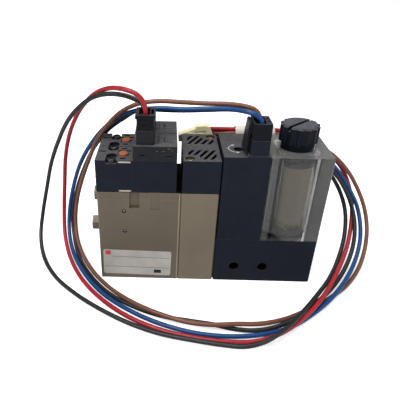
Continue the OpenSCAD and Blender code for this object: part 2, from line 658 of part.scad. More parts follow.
module coil_cover(y0) {
    top_wall = 1.2;
    inner_l = pilot_l - head_l - 2 * coil_wall;
    inner_d = pilot_w - 2 * coil_wall;
    deep = 2.8;
    difference() {
        union() {
            block(head_l + 0.3, y0, head_top, pilot_l - head_l - 0.3, pilot_w, cover_h);
            round_block(socket_x, y0 + socket_y, cover_top - eps, socket_w, socket_d,
                        valve_socket_h + eps, 0.6);
        }
        block(head_l + coil_wall, y0 + coil_wall, head_top - eps, inner_l, inner_d, cover_h - top_wall);
        round_block(socket_x + socket_wall, y0 + socket_y + socket_wall, cover_top + 0.2,
                    socket_w - 2 * socket_wall, socket_d - 2 * socket_wall, valve_socket_h, 0.3);
        // pin holes
        for (y = valve_entry_y)
            rod_z(valve_entry_x, y0 + y, cover_top - top_wall - eps, pin_w * 1.5, 2 * top_wall);
        // two slots and a parting line on the front
        block(head_l + 2.5, y0 - eps, head_top + 1.6, 1.8, deep / 4, 0.5);
        block(head_l + 10.8, y0 - eps, head_top + 1.4, 2.1, deep / 4, 0.5);
        block(head_l + 3, y0 - eps, head_top + 2.2, pilot_l - head_l - 5, 0.08, 0.15);
        // slot on the top
        block(head_l + 10, y0 + 4, cover_top - 0.4, 0.4, 4, 1);
    }
}

module front_coil_cover() { placed() color([0.3, 0.3, 0.31]) coil_cover(0); }
module rear_coil_cover() { placed() color([0.3, 0.3, 0.31]) coil_cover(rear_pilot_y); }

// Winding between two bobbin flanges, with a bore for the core and the armature
module coil(y0) {
    flange = 1;
    yc = y0 + pilot_w / 2;
    difference() {
        union() {
            rod_x(coil_x, yc, coil_z, coil_d, coil_end - coil_x);
            rod_x(coil_x, yc, coil_z, bobbin_d, flange);
            rod_x(coil_end - flange, yc, coil_z, bobbin_d, flange);
        }
        rod_x(coil_x - eps, yc, coil_z, armature_d + 2 * run, coil_end - coil_x + 2 * eps);
    }
}

module front_coil() { placed() color([0.5, 0.25, 0.12]) coil(0); }
module rear_coil() { placed() color([0.5, 0.25, 0.12]) coil(rear_pilot_y); }

module pilot_cores() {
    placed() color([0.6, 0.6, 0.62]) for (y0 = [0, rear_pilot_y])
        rod_x(core_x, y0 + pilot_w / 2, coil_z, armature_d, coil_end - core_x);
}

module armature(y0) {
    yc = y0 + pilot_w / 2;
    difference() {
        rod_x(armature_x, yc, coil_z, armature_d, armature_end - armature_x);
        rod_x(armature_end - spring_pocket_l, yc, coil_z, spring_pocket_d, spring_pocket_l + eps);
    }
}

module front_armature() { placed() color([0.6, 0.6, 0.62]) armature(0); }
module rear_armature() { placed() color([0.6, 0.6, 0.62]) armature(rear_pilot_y); }

module armature_spring(y0)
    translate([armature_end - spring_pocket_l, y0 + pilot_w / 2, coil_z]) rotate([0, 90, 0])
        coil_spring(spring_pocket_d - 0.2, core_x - armature_end + spring_pocket_l, spring_wire / 2, 6);

module front_armature_spring() { placed() color([0.6, 0.6, 0.62]) armature_spring(0); }
module rear_armature_spring() { placed() color([0.6, 0.6, 0.62]) armature_spring(rear_pilot_y); }

// Manual override: a domed button on a flange that keeps it in the head
module override(y0) {
    stem = override_depth + override_rise;
    translate([override_x, y0 + pilot_w / 2, head_top - override_depth]) rotate_extrude()
        polygon([[0, -override_flange_h], [override_flange_d / 2, -override_flange_h],
                 [override_flange_d / 2, 0], [override_d / 2, 0], [override_d / 2, stem - 0.3],
                 [override_d / 2 - 0.3, stem - 0.08], [0.5, stem], [0.35, stem - 0.15], [0, stem - 0.15]]);
}

module front_override() { placed() color([0.86, 0.47, 0.31]) override(0); }
module rear_override() { placed() color([0.86, 0.47, 0.31]) override(rear_pilot_y); }

module override_spring(y0) {
    foot = valve_z + 2.6;
    translate([override_x, y0 + pilot_w / 2, foot])
        coil_spring(override_d, head_top - override_depth - override_flange_h - foot, spring_wire / 2, 6);
}

module front_override_spring() { placed() color([0.6, 0.6, 0.62]) override_spring(0); }
module rear_override_spring() { placed() color([0.6, 0.6, 0.62]) override_spring(rear_pilot_y); }

module pilot_clips() {
    lip = 0.5;
    placed() color([0.72, 0.7, 0.64]) for (y0 = [0, rear_pilot_y]) {
        block(clip_x, y0 + 0.5, valve_z, clip_w, clip_t, pilot_h - 0.3);
        for (z = [valve_z, head_top - 0.8])
            block(clip_x, y0 + 0.03, z, clip_w, 0.5, lip);
    }
}

module pilot_pins() {
    foot = cover_top - pin_hold;
    placed() color([0.75, 0.68, 0.4]) for (y0 = [0, rear_pilot_y], y = valve_entry_y)
        translate([valve_entry_x - pin_w / 2, y0 + y - pin_w / 2, foot])
            cube([pin_w, pin_w, cover_top + valve_socket_h * 0.7 - foot]);
}

module valve_screws() {
    placed() color([0.55, 0.55, 0.55]) for (y = valve_screw_y) difference() {
        translate([valve_screw_x, y, valve_screw_seat]) {
            screw_head(valve_screw_head_d, valve_screw_head_h);
            translate([0, 0, -(valve_screw_seat - body_h) - valve_screw_l + 1])
                cylinder(d = valve_screw_d - 0.1, h = valve_screw_seat - body_h + valve_screw_l - 1 + eps);
        }
        cross_recess(valve_screw_x, y, valve_screw_seat + valve_screw_head_h, 2, 0.5, 0.7);
    }
}

// --------------------------------------------------------------- silencer

// One group of slanted slots, clipped to a rectangle
module louvres(y_low, y_high, x_low, x_high, skip_low, skip_high) {
    mid = (y_low + y_high) / 2;
    reach = (y_high - y_low) / sin(louvre_angle);
    intersection() {
        block(x_low, y_low, silencer_top - 3, x_high - x_low, y_high - y_low, 4);
        union() for (i = [-4 : 5])
            translate([(x_low + x_high) / 2 + i * louvre_pitch, mid, silencer_top - 3])
                rotate([0, 0, louvre_angle]) translate([-reach, -louvre_w / 2, 0])
                    cube([2 * reach, louvre_w, 4]);
        union() {
            difference() {
                block(x_low - 1, y_low - 1, silencer_top - 3, x_high - x_low + 2, y_high - y_low + 2, 4);
                block(skip_low[0], skip_low[1], silencer_top - 4, skip_high[0] - skip_low[0],
                      skip_high[1] - skip_low[1], 6);
            }
        }
    }
}

module silencer_cover() {
    x_low = silencer_x + louvre_margin;
    x_high = metal_l - 1.3;
    strip_low = mid_y - bare_strip / 2;
    strip_high = mid_y + bare_strip / 2;
    placed() color([0.32, 0.32, 0.33]) difference() {
        union() {
            difference() {
                block(silencer_x, 0, body_h, silencer_l, body_d, silencer_h);
                block(silencer_x + silencer_wall, silencer_wall, body_h - eps,
                      silencer_l - 2 * silencer_wall, body_d - 2 * silencer_wall, silencer_h - silencer_roof);
            }
            for (p = cover_screw_places)
                intersection() {
                    rod_z(p[0], p[1], body_h, cover_boss_d, silencer_h);
                    block(silencer_x, 0, body_h, silencer_l, body_d, silencer_h);
                }
        }
        for (p = cover_screw_places) {
            rod_z(p[0], p[1], body_h - eps, cover_screw_d + 0.2, silencer_h + 2 * eps);
            rod_z(p[0], p[1], silencer_top - 0.9, cover_screw_head_d + 0.5, 1);
        }
        louvres(louvre_margin, strip_low, x_low, x_high,
                [silencer_x, 0], [x_low + screw_pad[0], louvre_margin + screw_pad[1]]);
        louvres(strip_high, body_d - louvre_margin, x_low, x_high,
                [x_high - screw_pad[0], body_d - louvre_margin - screw_pad[1]], [metal_l, body_d]);
    }
}

module silencer_pad() {
    gap = 0.1;
    placed() color([0.2, 0.2, 0.2]) difference() {
        block(silencer_x + silencer_wall + gap, silencer_wall + gap, body_h + pad_floor,
              silencer_l - 2 * silencer_wall - 2 * gap, body_d - 2 * silencer_wall - 2 * gap,
              silencer_h - silencer_roof - pad_floor - pad_play);
        for (p = cover_screw_places) rod_z(p[0], p[1], body_h, cover_boss_d + 2 * gap, silencer_h);
    }
}

module cover_screws() {
    placed() color([0.65, 0.58, 0.42]) for (p = cover_screw_places) difference() {
        union() {
            translate([p[0], p[1], silencer_top - 0.9]) screw_head(cover_screw_head_d, 0.8);
            rod_z(p[0], p[1], body_h - valve_screw_l + 1, cover_screw_d - 0.1,
                  silencer_h + valve_screw_l - 1.9 + eps);
        }
        cross_recess(p[0], p[1], silencer_top - 0.1, 1.6, 0.4, 0.5);
    }
}

// -------------------------------------------------------- switch and base

module base_gasket() {
    inset = 0.6;
    placed() color([0.06, 0.06, 0.06]) difference() {
        block(metal_l, inset, inset, switch_gap, block_d - 2 * inset, base_h - 2 * inset);
        bolt_holes(metal_l - eps, switch_gap + 2 * eps, bolt_d + 0.2);
        rod_x(metal_l - eps, mid_y, suction_z, passage_d, switch_gap + 2 * eps);
    }
}

module seal_ring(grow, h) {
    ring_w = 1.2;
    outer = cavity_w + 3.2 + 2 * grow;
    inner = outer - 2 * ring_w - 4 * grow;
    translate([filter_mid_x, block_y, base_h - 0.9]) linear_extrude(h) difference() {
        translate([-outer / 2, -outer / 2]) round_rect(outer, outer, 3);
        translate([-inner / 2, -inner / 2]) round_rect(inner, inner, 2);
    }
}

module base_block() {
    cell_in_x = filter_mid_x - 4.6;
    cell_out_x = filter_mid_x + 5;
    port_z = base_h / 2;
    placed() color([0.1, 0.11, 0.13]) difference() {
        chamfered_block(base_x, 0, 0, total_l - base_x, block_d, base_h, [edge, edge, edge, edge]);
        for (i = [0, 1]) rod_y(hole_x + i * mount_pitch, -eps, mount_z, mount_hole_d, block_d + 2 * eps);
        rod_x(total_l - port_l, block_y, port_z, port_d, port_l + eps);
        rod_z(cell_out_x, block_y, port_z, cell_vent_d, base_h);
        rod_z(cell_in_x, block_y, suction_z, cell_vent_d, base_h);
        rod_x(base_x - eps, mid_y, suction_z, passage_d, cell_in_x - base_x);
        rod_z(sense_x, block_y, suction_z, 1.6, base_h);
        rod_z(filter_mid_x, block_y, base_h - insert_l, insert_d + 2 * seat, insert_l + eps);
        bolt_holes(base_x - eps, bolt_end_x - base_x + 0.5, bolt_d + 2 * seat);
        seal_ring(seat, 2);
    }
}

module case_seal() { placed() color([0.06, 0.06, 0.06]) seal_ring(0, 0.9); }

module knob_insert() {
    placed() color([0.72, 0.6, 0.32]) difference() {
        rod_z(filter_mid_x, block_y, base_h - insert_l, insert_d, insert_l);
        rod_z(filter_mid_x, block_y, base_h - insert_l - eps, stud_d + 2 * run, insert_l + 2 * eps);
    }
}

module sensor_case() {
    w = switch_wall;
    placed() color([0.3, 0.3, 0.31]) difference() {
        chamfered_block(base_x, 0, base_h, sensor_l, block_d, block_h, [edge, 0.1, 0.1, edge]);
        block(base_x + w, w, base_h + w, sensor_l, block_d - 2 * w, block_h - 2 * w);
        rod_z(trimmer_x, trimmer_y, block_top - w - eps, trimmer_hole_d, w + 2 * eps);
        rod_z(sense_x, block_y, base_h - eps, 1.6, w + 2 * eps);
    }
}

module connector_case() {
    w = switch_wall;
    placed() color([0.3, 0.3, 0.31]) difference() {
        union() {
            chamfered_block(housing_x, 0, base_h, connector_l, block_d, block_h, [0.1, edge, edge, 0.1]);
            round_block(switch_socket_x, switch_socket_y, block_top - eps, switch_socket_w,
                        switch_socket_d, switch_socket_h + eps, 0.6);
            // flange around the front of the socket
            block(switch_socket_x - 0.5, 0.05, block_top - eps, switch_socket_w + 0.9, 3, 0.5);
        }
        block(housing_x - eps, w, base_h + w, connector_l - w, block_d - 2 * w, block_h - 2 * w);
        round_block(switch_socket_x + socket_wall, switch_socket_y + socket_wall, block_top - w - eps,
                    switch_socket_w - 2 * socket_wall, switch_socket_d - 2 * socket_wall,
                    switch_socket_h + w + 1, 0.3);
    }
}

module switch_board() {
    pot_l = 4.4;
    pot_h = 4;
    placed() color([0.12, 0.35, 0.2]) difference() {
        union() {
            block(board_x, switch_wall + 0.1, base_h + switch_wall, board_t, block_d - 2 * switch_wall - 0.2,
                  board_top - base_h - switch_wall);
            block(board_x - pot_l, trimmer_y - pot_l / 2, board_top - pot_h, pot_l + eps, pot_l, pot_h);
        }
        rod_z(trimmer_x, trimmer_y, board_top - pot_h + 1, trimmer_stem_d + 2 * run, pot_h);
    }
}

module trimmer() {
    head_z = board_top + run;
    head_top_z = block_top - trimmer_recess;
    placed() color([0.75, 0.75, 0.72]) difference() {
        union() {
            rod_z(trimmer_x, trimmer_y, head_z, trimmer_head_d, head_top_z - head_z);
            rod_z(trimmer_x, trimmer_y, board_top - 2.9, trimmer_stem_d, head_z - board_top + 2.9 + eps);
        }
        translate([trimmer_x - trimmer_head_d, trimmer_y - 0.25, head_top_z - 0.6])
            cube([2 * trimmer_head_d, 0.5, 1]);
    }
}

module pressure_sensor() {
    can_d = 8;
    can_l = 3.6;
    can_z = base_h + switch_wall + can_d / 2 + 2.5;
    placed() color([0.7, 0.7, 0.72]) union() {
        rod_x(board_x - can_l, block_y, can_z, can_d, can_l);
        rod_z(sense_x, block_y, base_h + switch_wall, 2.6, can_z - base_h - switch_wall);
    }
}

module switch_header() {
    bar_x = board_x + board_t;
    bar_l = switch_entry_x + 1 - bar_x;
    bar_z = block_top - switch_wall - 3;
    placed() color([0.75, 0.68, 0.4]) {
        block(bar_x, switch_wall + 0.2, bar_z, bar_l, switch_socket_d - 1.8, 1.6);
        for (y = switch_entry_y)
            translate([switch_entry_x - pin_w / 2, y - pin_w / 2, bar_z + 1.6 - eps])
                cube([pin_w, pin_w, block_top + 3 - bar_z - 1.6]);
    }
}

// ----------------------------------------------------------------- filter

module filter_case() {
    r = 2.5;
    half = cavity_w / 2;
    placed() color([0.6, 0.62, 0.62, 0.45]) difference() {
        chamfered_block(filter_x, 0, base_h, filter_l, block_d, block_h, [edge, edge, edge, edge]);
        difference() {
            round_block(filter_mid_x - half, block_y - half, base_h - eps, cavity_w, cavity_w,
                        block_h - ceiling, r);
            rod_z(filter_mid_x, block_y, knob_boss_z, knob_boss_d, block_h);
        }
        rod_z(filter_mid_x, block_y, block_top - knob_recess_h, knob_recess_d, knob_recess_h + eps);
        rod_z(filter_mid_x, block_y, base_h, stud_d + 0.4, block_h);
    }
}

module filter_element() {
    placed() color([0.6, 0.57, 0.48]) difference() {
        rod_z(filter_mid_x, block_y, element_z, element_d, element_l);
        rod_z(filter_mid_x, block_y, element_z - eps, stud_d + 1.2, element_l + 2 * eps);
    }
}

module element_holders() {
    holder_d = min(element_d + 1, cavity_w - 0.6);
    placed() color([0.55, 0.56, 0.56]) difference() {
        union() {
            rod_z(filter_mid_x, block_y, base_h, holder_d, element_z - base_h);
            rod_z(filter_mid_x, block_y, element_z + element_l, holder_d,
                  knob_boss_z - element_z - element_l);
        }
        rod_z(filter_mid_x, block_y, base_h - eps, stud_d + 0.6, block_h);
    }
}

module filter_knob() {
    slot_turn = 42;
    slot_w = 1.1;
    slot_depth = 1.5;
    rib_d = 1.9;
    core_d = knob_d - 0.9;
    base_z = block_top - knob_recess_h + 0.05;
    top_z = block_top + knob_h;
    placed() color([0.14, 0.16, 0.19]) difference() {
        union() {
            rod_z(filter_mid_x, block_y, base_z, knob_base_d, top_z - base_z - 1);
            translate([filter_mid_x, block_y, knob_rib_z]) rotate_extrude()
                polygon([[0, 0], [knob_base_d / 2, 0], [core_d / 2, 0.4],
                         [core_d / 2, top_z - knob_rib_z - 0.5],
                         [core_d / 2 - 0.5, top_z - knob_rib_z], [0, top_z - knob_rib_z]]);
            for (i = [0 : knob_ribs - 1]) rotate_about_knob(i * 360 / knob_ribs)
                rod_z(filter_mid_x + knob_d / 2 - rib_d / 2, block_y, knob_rib_z, rib_d,
                      top_z - knob_rib_z - 0.35);
            rod_z(filter_mid_x, block_y, stud_end, stud_d, base_z - stud_end + eps);
        }
        rotate_about_knob(slot_turn)
            translate([filter_mid_x - knob_d, block_y - slot_w / 2, top_z - slot_depth])
                cube([2 * knob_d, slot_w, 2 * slot_depth]);
    }
}

module rotate_about_knob(a)
    translate([filter_mid_x, block_y, 0]) rotate([0, 0, a]) translate([-filter_mid_x, -block_y, 0])
        children();

// --------------------------------------------------------- plugs and leads

module valve_plug() {
    low_w = socket_w - 2 * socket_wall - 2 * seat;
    low_d = socket_d - 2 * socket_wall - 2 * seat;
    foot = cover_top + 0.3;
    lip = 0.4;
    lip_h = 1.2;
    x0 = valve_entry_x - valve_plug_w / 2;
    y0 = socket_y + (socket_d - valve_plug_d) / 2;
    placed() color([0.13, 0.14, 0.16]) difference() {
        union() {
            block(valve_entry_x - low_w / 2, socket_y + socket_wall + seat, foot, low_w, low_d,
                  valve_plug_z - foot + 0.1);
            block(x0, y0, valve_plug_z + 0.02, valve_plug_w, valve_plug_d, valve_plug_h - 0.02);
            block(x0 - lip, y0 - 0.1, valve_plug_top - lip_h, valve_plug_w + 2 * lip,
                  valve_plug_d + 0.2, lip_h);
        }
        block(x0 + 0.7, y0 + 0.8, valve_plug_top - valve_trough, 3.4, valve_plug_d - 1.6, valve_trough + eps);
        for (y = valve_entry_y) {
            rod_z(valve_entry_x, y, valve_plug_top - valve_trough - entry_depth, lead_d + 0.1,
                  entry_depth + eps);
            rod_z(valve_entry_x, y, foot - eps, pin_w * 1.6, valve_socket_h);
        }
        // latch slot and a window in the front
        block(x0 + valve_plug_w - 1, y0 + 1.6, valve_plug_top - 1.2, 0.9, valve_plug_d - 3.2, 1.3);
        block(x0 + 1.4, y0 - eps, valve_plug_z + 1, 1.6, 0.5, 1.2);
    }
}

module switch_plug() {
    low_w = switch_socket_w - 2 * socket_wall - 2 * seat;
    low_d = switch_socket_d - 2 * socket_wall - 2 * seat;
    foot = block_top + 0.3;
    x0 = switch_entry_x - switch_plug_w / 2;
    y0 = switch_socket_y + (switch_socket_d - switch_plug_d) / 2;
    lever_y = y0 + 1;
    lever_w = 5.6;
    placed() color([0.13, 0.14, 0.16]) difference() {
        union() {
            block(switch_entry_x - low_w / 2, switch_socket_y + socket_wall + seat, foot, low_w, low_d,
                  switch_socket_top - foot + 0.1);
            block(x0, y0, switch_socket_top + 0.02, switch_plug_w, switch_plug_d, switch_plug_h - 0.02);
            block(x0 + 0.8, y0 - 0.3, switch_plug_top - 1.2, switch_plug_w - 1.6, 1, 1.2);
            // latch lever beside the socket
            translate([x0, lever_y + lever_w, 0]) rotate([90, 0, 0]) linear_extrude(lever_w)
                polygon([[eps, switch_plug_top - 0.4], [-0.7, switch_plug_top + 0.4],
                         [-1.2, switch_plug_top - 0.3], [-2, block_top + 1.2],
                         [-1.2, block_top + 1.2], [-0.6, switch_plug_top - 3.5],
                         [eps, switch_plug_top - 3.1]]);
        }
        block(x0 + 0.6, y0 + 0.6, switch_plug_top - switch_trough, 3.4, switch_plug_d - 1.2,
              switch_trough + eps);
        for (y = switch_entry_y) {
            rod_z(switch_entry_x, y, switch_plug_top - switch_trough - entry_depth, lead_d + 0.1,
                  entry_depth + eps);
            rod_z(switch_entry_x, y, foot - eps, pin_w * 1.6, switch_socket_h);
        }
        // two contact windows on the top
        for (y = [y0 + 2.2, y0 + 4.8])
            block(x0 + switch_plug_w - 1.3, y, switch_plug_top - 0.5, 0.8, 1, 1);
    }
}

// Outline in X and Z from the end connector's low corner, drawn out along Y from y by d
module upright_outline(y, d, points)
    translate([end_x, y + d, end_z]) rotate([90, 0, 0]) linear_extrude(d) polygon(points);

module end_connector() {
    collar_slope = 0.9;
    collar_drop = 0.3;
    window_w = 1;
    window_depth = 2.4;
    window_z = [end_z + 0.5, end_z + 1.9];
    placed() color([0.86, 0.82, 0.65]) difference() {
        union() {
            block(end_x + end_housing[0], end_y, end_z, end_l - end_housing[0], end_d, end_housing[1]);
            upright_outline(end_y, end_d, [[end_l - end_collar_l, 0], [end_l, 0], [end_l, end_h / 2],
                [end_l - collar_slope, end_h - collar_drop], [end_l - end_collar_l, end_h - collar_drop]]);
            upright_outline(end_y + end_lever_inset, end_d - 2 * end_lever_inset, end_lever);
        }
        for (y = end_cell_y) {
            for (z = end_cell_z)
                rod_x(end_x + end_l - end_depth, y, z, lead_d + 0.04, end_depth + eps);
            for (z = window_z)
                block(end_x + end_housing[0] - eps, y - window_w / 2, z, window_depth, window_w, window_w);
        }
    }
}

module lead_sleeve() {
    placed() color([0.8, 0.78, 0.7]) difference() {
        rod_x(sleeve_x, sleeve_y, sleeve_z, sleeve_d, sleeve_l);
        rod_x(sleeve_x - eps, sleeve_y, sleeve_z, sleeve_bore, sleeve_l + 2 * eps);
    }
}

// Smooth curve through the points p, with one point about every ring_pitch
function padded(p) = concat([2 * p[0] - p[1]], p, [2 * p[len(p) - 1] - p[len(p) - 2]]);
function mix(p, q, t, u, v) = ((v - t) * p + (t - u) * q) / (v - u);
function between(a, b, c, d, s) =
    let (t1 = sqrt(norm(b - a)), t2 = t1 + sqrt(norm(c - b)), t3 = t2 + sqrt(norm(d - c)),
         t = t1 + s * (t2 - t1),
         ab = mix(a, b, t, 0, t1), bc = mix(b, c, t, t1, t2), cd = mix(c, d, t, t2, t3))
    mix(mix(ab, bc, t, 0, t2), mix(bc, cd, t, t1, t3), t, t1, t2);
function smooth(p) = let (q = padded(p)) [
    for (i = [1 : len(q) - 3])
        let (n = max(1, round(norm(q[i + 1] - q[i]) / ring_pitch)))
        for (k = [0 : n - 1]) between(q[i - 1], q[i], q[i + 1], q[i + 2], k / n),
    p[len(p) - 1]];

// Direction of the curve c at its point i, and a side direction carried along it without twist
function heading(c, i) = let (d = c[min(i + 1, len(c) - 1)] - c[max(i - 1, 0)]) d / norm(d);
function square_to(v, t) = let (w = v - (v * t) * t) w / norm(w);
function sides_of(c) = [
    for (i = 0, v = square_to([0.2, 1, 0.3], heading(c, 0)); i < len(c);
         i = i + 1, v = square_to(v, heading(c, min(i, len(c) - 1)))) v];

module lead(route) {
    c = smooth(route);
    side = sides_of(c);
    n = len(c);
    points = [for (i = [0 : n - 1], k = [0 : ring_sides - 1])
        let (a = 360 * k / ring_sides, other = cross(heading(c, i), side[i]))
        c[i] + lead_r * (cos(a) * side[i] + sin(a) * other)];
    walls = [for (i = [0 : n - 2], k = [0 : ring_sides - 1])
        let (a = i * ring_sides + k, b = i * ring_sides + (k + 1) % ring_sides)
        each [[a, b, b + ring_sides], [a, b + ring_sides, a + ring_sides]]];
    first = [for (k = [0 : ring_sides - 1]) ring_sides - 1 - k];
    last = [for (k = [0 : ring_sides - 1]) (n - 1) * ring_sides + k];
    polyhedron(points = points, faces = concat([first], walls, [last]), convexity = 10);
}

// Ends of a route: up out of a plug, and through the sleeve into a cell of the end connector
function leaving(x, y, top) = [[x, y, top - entry_depth], [x, y, top]];
function arriving(a, cell_y, cell_z) =
    let (y = sleeve_y + bundle_r * cos(a), z = sleeve_z + bundle_r * sin(a), end = end_x + end_l)
    [[sleeve_x + sleeve_l, y, z], [sleeve_x + sleeve_l / 2, y, z], [sleeve_x, y, z],
     [end + 1, cell_y, cell_z], [end - end_depth, cell_y, cell_z]];
function valve_route(i, middle, a, cell_y, cell_z) = concat(
    leaving(valve_entry_x, valve_entry_y[i], valve_plug_top - valve_trough), middle,
    arriving(a, cell_y, cell_z));
function switch_route(i, middle, a, cell_y, cell_z) = concat(
    leaving(switch_entry_x, switch_entry_y[i], switch_plug_top - switch_trough), middle,
    arriving(a, cell_y, cell_z));

module red_lead() placed() color([0.65, 0.14, 0.18])
    lead(valve_route(0, red_points, 102, end_cell_y[0], end_cell_z[2]));
module black_lead() placed() color([0.15, 0.16, 0.18])
    lead(valve_route(1, black_points, 30, end_cell_y[1], end_cell_z[1]));
module brown_lead() placed() color([0.42, 0.27, 0.2])
    lead(switch_route(2, brown_points, 174, end_cell_y[0], end_cell_z[1]));
module blue_lead() placed() color([0.1, 0.27, 0.55])
    lead(switch_route(0, blue_points, 318, end_cell_y[1], end_cell_z[0]));
module signal_lead() placed() color([0.15, 0.16, 0.18])
    lead(switch_route(1, signal_points, 246, end_cell_y[0], end_cell_z[0]));

valve_body();
ejector_body();
feed_seal();
nozzle();
diffuser();
port_plugs();
pressed_balls();
nameplate();
assembly_bolts();
supply_spool();
release_spool();
supply_spring();
release_spring();
valve_gasket();
front_pilot_body();
rear_pilot_body();
front_coil_cover();
rear_coil_cover();
front_coil();
rear_coil();
pilot_cores();
front_armature();
rear_armature();
front_armature_spring();
rear_armature_spring();
front_override();
rear_override();
front_override_spring();
rear_override_spring();
pilot_clips();
pilot_pins();
valve_screws();
silencer_cover();
silencer_pad();
cover_screws();
base_gasket();
base_block();
sensor_case();
connector_case();
switch_board();
pressure_sensor();
switch_header();
trimmer();
filter_case();
case_seal();
filter_element();
element_holders();
filter_knob();
knob_insert();
valve_plug();
switch_plug();
end_connector();
lead_sleeve();
red_lead();
black_lead();
brown_lead();
blue_lead();
signal_lead();
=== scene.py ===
"""Looks of a vacuum ejector unit with free leads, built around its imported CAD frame."""
import json
import math

import bmesh
import bpy
from mathutils import Matrix, Vector


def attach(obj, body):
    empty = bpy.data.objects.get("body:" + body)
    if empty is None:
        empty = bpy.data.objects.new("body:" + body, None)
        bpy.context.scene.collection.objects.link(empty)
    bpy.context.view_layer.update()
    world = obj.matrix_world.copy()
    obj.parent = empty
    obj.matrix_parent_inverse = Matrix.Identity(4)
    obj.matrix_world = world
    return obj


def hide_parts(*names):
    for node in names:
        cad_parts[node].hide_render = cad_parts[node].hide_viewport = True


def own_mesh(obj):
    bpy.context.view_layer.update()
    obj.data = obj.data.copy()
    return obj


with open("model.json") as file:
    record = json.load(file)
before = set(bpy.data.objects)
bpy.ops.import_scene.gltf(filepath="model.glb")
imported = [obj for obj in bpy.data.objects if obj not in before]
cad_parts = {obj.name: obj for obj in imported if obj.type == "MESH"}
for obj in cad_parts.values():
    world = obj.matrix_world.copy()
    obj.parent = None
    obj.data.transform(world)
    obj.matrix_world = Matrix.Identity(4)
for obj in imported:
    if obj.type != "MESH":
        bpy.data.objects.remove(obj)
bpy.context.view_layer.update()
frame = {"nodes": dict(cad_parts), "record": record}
MM = 0.001

# The CAD source measures in millimetres from the front left foot, which lies here in the frame
CORNER = Vector((-36.1, -11.5, 0.0))


def at(x, y, z):
    """A point in metres in the frame, from millimetres on the CAD source's own scale."""
    return (CORNER + Vector((x, y, z))) * MM


# ------------------------------------------------------------------ materials
EDGE_TURN = 0.12  # how far a normal has turned, as 1 minus a cosine, where an edge is fully paled
WEAR_AND_HIGHLIGHT_SHARE = 0.3  # share of the paler colour on a fully paled edge: partly rubbed wear, partly painted highlight


def linear(r, g, b):
    """A colour as seen on a screen, 0 to 255, in the renderer's linear values."""
    def one(v):
        v /= 255.0
        return v / 12.92 if v <= 0.04045 else ((v + 0.055) / 1.055) ** 2.4
    return (one(r), one(g), one(b), 1.0)


def shaded(colour, share):
    """A colour at a share of its brightness."""
    return tuple(c * share for c in colour[:3]) + (1.0,)


class Nodes:
    """A material's node tree, with short calls for the nodes that every finish here uses."""

    def __init__(self, name):
        self.material = bpy.data.materials.new(name)
        self.material.use_nodes = True
        self.tree = self.material.node_tree
        self.shader = self.tree.nodes["Principled BSDF"]
        coordinates = self.tree.nodes.new("ShaderNodeTexCoord")
        self.place = coordinates.outputs["Object"]

    def link(self, a, b):
        self.tree.links.new(a, b)

    def set(self, **values):
        for key, value in values.items():
            self.shader.inputs[key.replace("_", " ")].default_value = value

    def stretched(self, scale):
        mapping = self.tree.nodes.new("ShaderNodeMapping")
        mapping.inputs["Scale"].default_value = scale
        self.link(self.place, mapping.inputs["Vector"])
        return mapping.outputs["Vector"]

    def noise(self, size, detail=3.0, stretch=None, rough=0.55):
        """Noise whose blotches are about size metres across."""
        node = self.tree.nodes.new("ShaderNodeTexNoise")
        node.inputs["Scale"].default_value = 1.0 / size
        node.inputs["Detail"].default_value = detail
        node.inputs["Roughness"].default_value = rough
        self.link(self.stretched(stretch) if stretch else self.place, node.inputs["Vector"])
        return node.outputs["Fac"]

    def ranged(self, value, low, high, out_low=0.0, out_high=1.0):
        node = self.tree.nodes.new("ShaderNodeMapRange")
        ends = {"From Min": low, "From Max": high, "To Min": out_low, "To Max": out_high}
        for key, number in ends.items():
            node.inputs[key].default_value = number
        self.link(value, node.inputs["Value"])
        return node.outputs["Result"]

    def math(self, kind, a, b):
        node = self.tree.nodes.new("ShaderNodeMath")
        node.operation = kind
        for slot, value in zip(node.inputs, (a, b)):
            if isinstance(value, (int, float)):
                slot.default_value = value
            else:
                self.link(value, slot)
        return node.outputs["Value"]

    def mix(self, factor, a, b):
        node = self.tree.nodes.new("ShaderNodeMix")
        node.data_type = "RGBA"
        if isinstance(factor, (int, float)):
            node.inputs["Factor"].default_value = factor
        else:
            self.link(factor, node.inputs["Factor"])
        for key, value in (("A", a), ("B", b)):
            slot = [s for s in node.inputs if s.name == key and s.type == "RGBA"][0]
            if isinstance(value, tuple):
                slot.default_value = value
            else:
                self.link(value, slot)
        return [s for s in node.outputs if s.type == "RGBA"][0]

    def bump(self, height, strength, distance):
        node = self.tree.nodes.new("ShaderNodeBump")
        node.inputs["Strength"].default_value = strength
        node.inputs["Distance"].default_value = distance
        self.link(height, node.inputs["Height"])
        previous = self.shader.inputs["Normal"].links
        if previous:
            self.link(previous[0].from_socket, node.inputs["Normal"])
        self.link(node.outputs["Normal"], self.shader.inputs["Normal"])

    def facing_up(self):
        """How far the surface faces up, 0 to 1."""
        geometry = self.tree.nodes.new("ShaderNodeNewGeometry")
        split = self.tree.nodes.new("ShaderNodeSeparateXYZ")
        self.link(geometry.outputs["Normal"], split.inputs["Vector"])
        return self.ranged(split.outputs["Z"], 0.3, 0.95)

    def edges(self, radius):
        """Near 1 on outer edges, 0 on flat stretches: how far a rounded normal leaves the true one."""
        bevel = self.tree.nodes.new("ShaderNodeBevel")
        bevel.samples = 4
        bevel.inputs["Radius"].default_value = radius
        geometry = self.tree.nodes.new("ShaderNodeNewGeometry")
        dot = self.tree.nodes.new("ShaderNodeVectorMath")
        dot.operation = "DOT_PRODUCT"
        self.link(bevel.outputs["Normal"], dot.inputs[0])
        self.link(geometry.outputs["Normal"], dot.inputs[1])
        return self.ranged(dot.outputs["Value"], 1.0, 1.0 - EDGE_TURN)


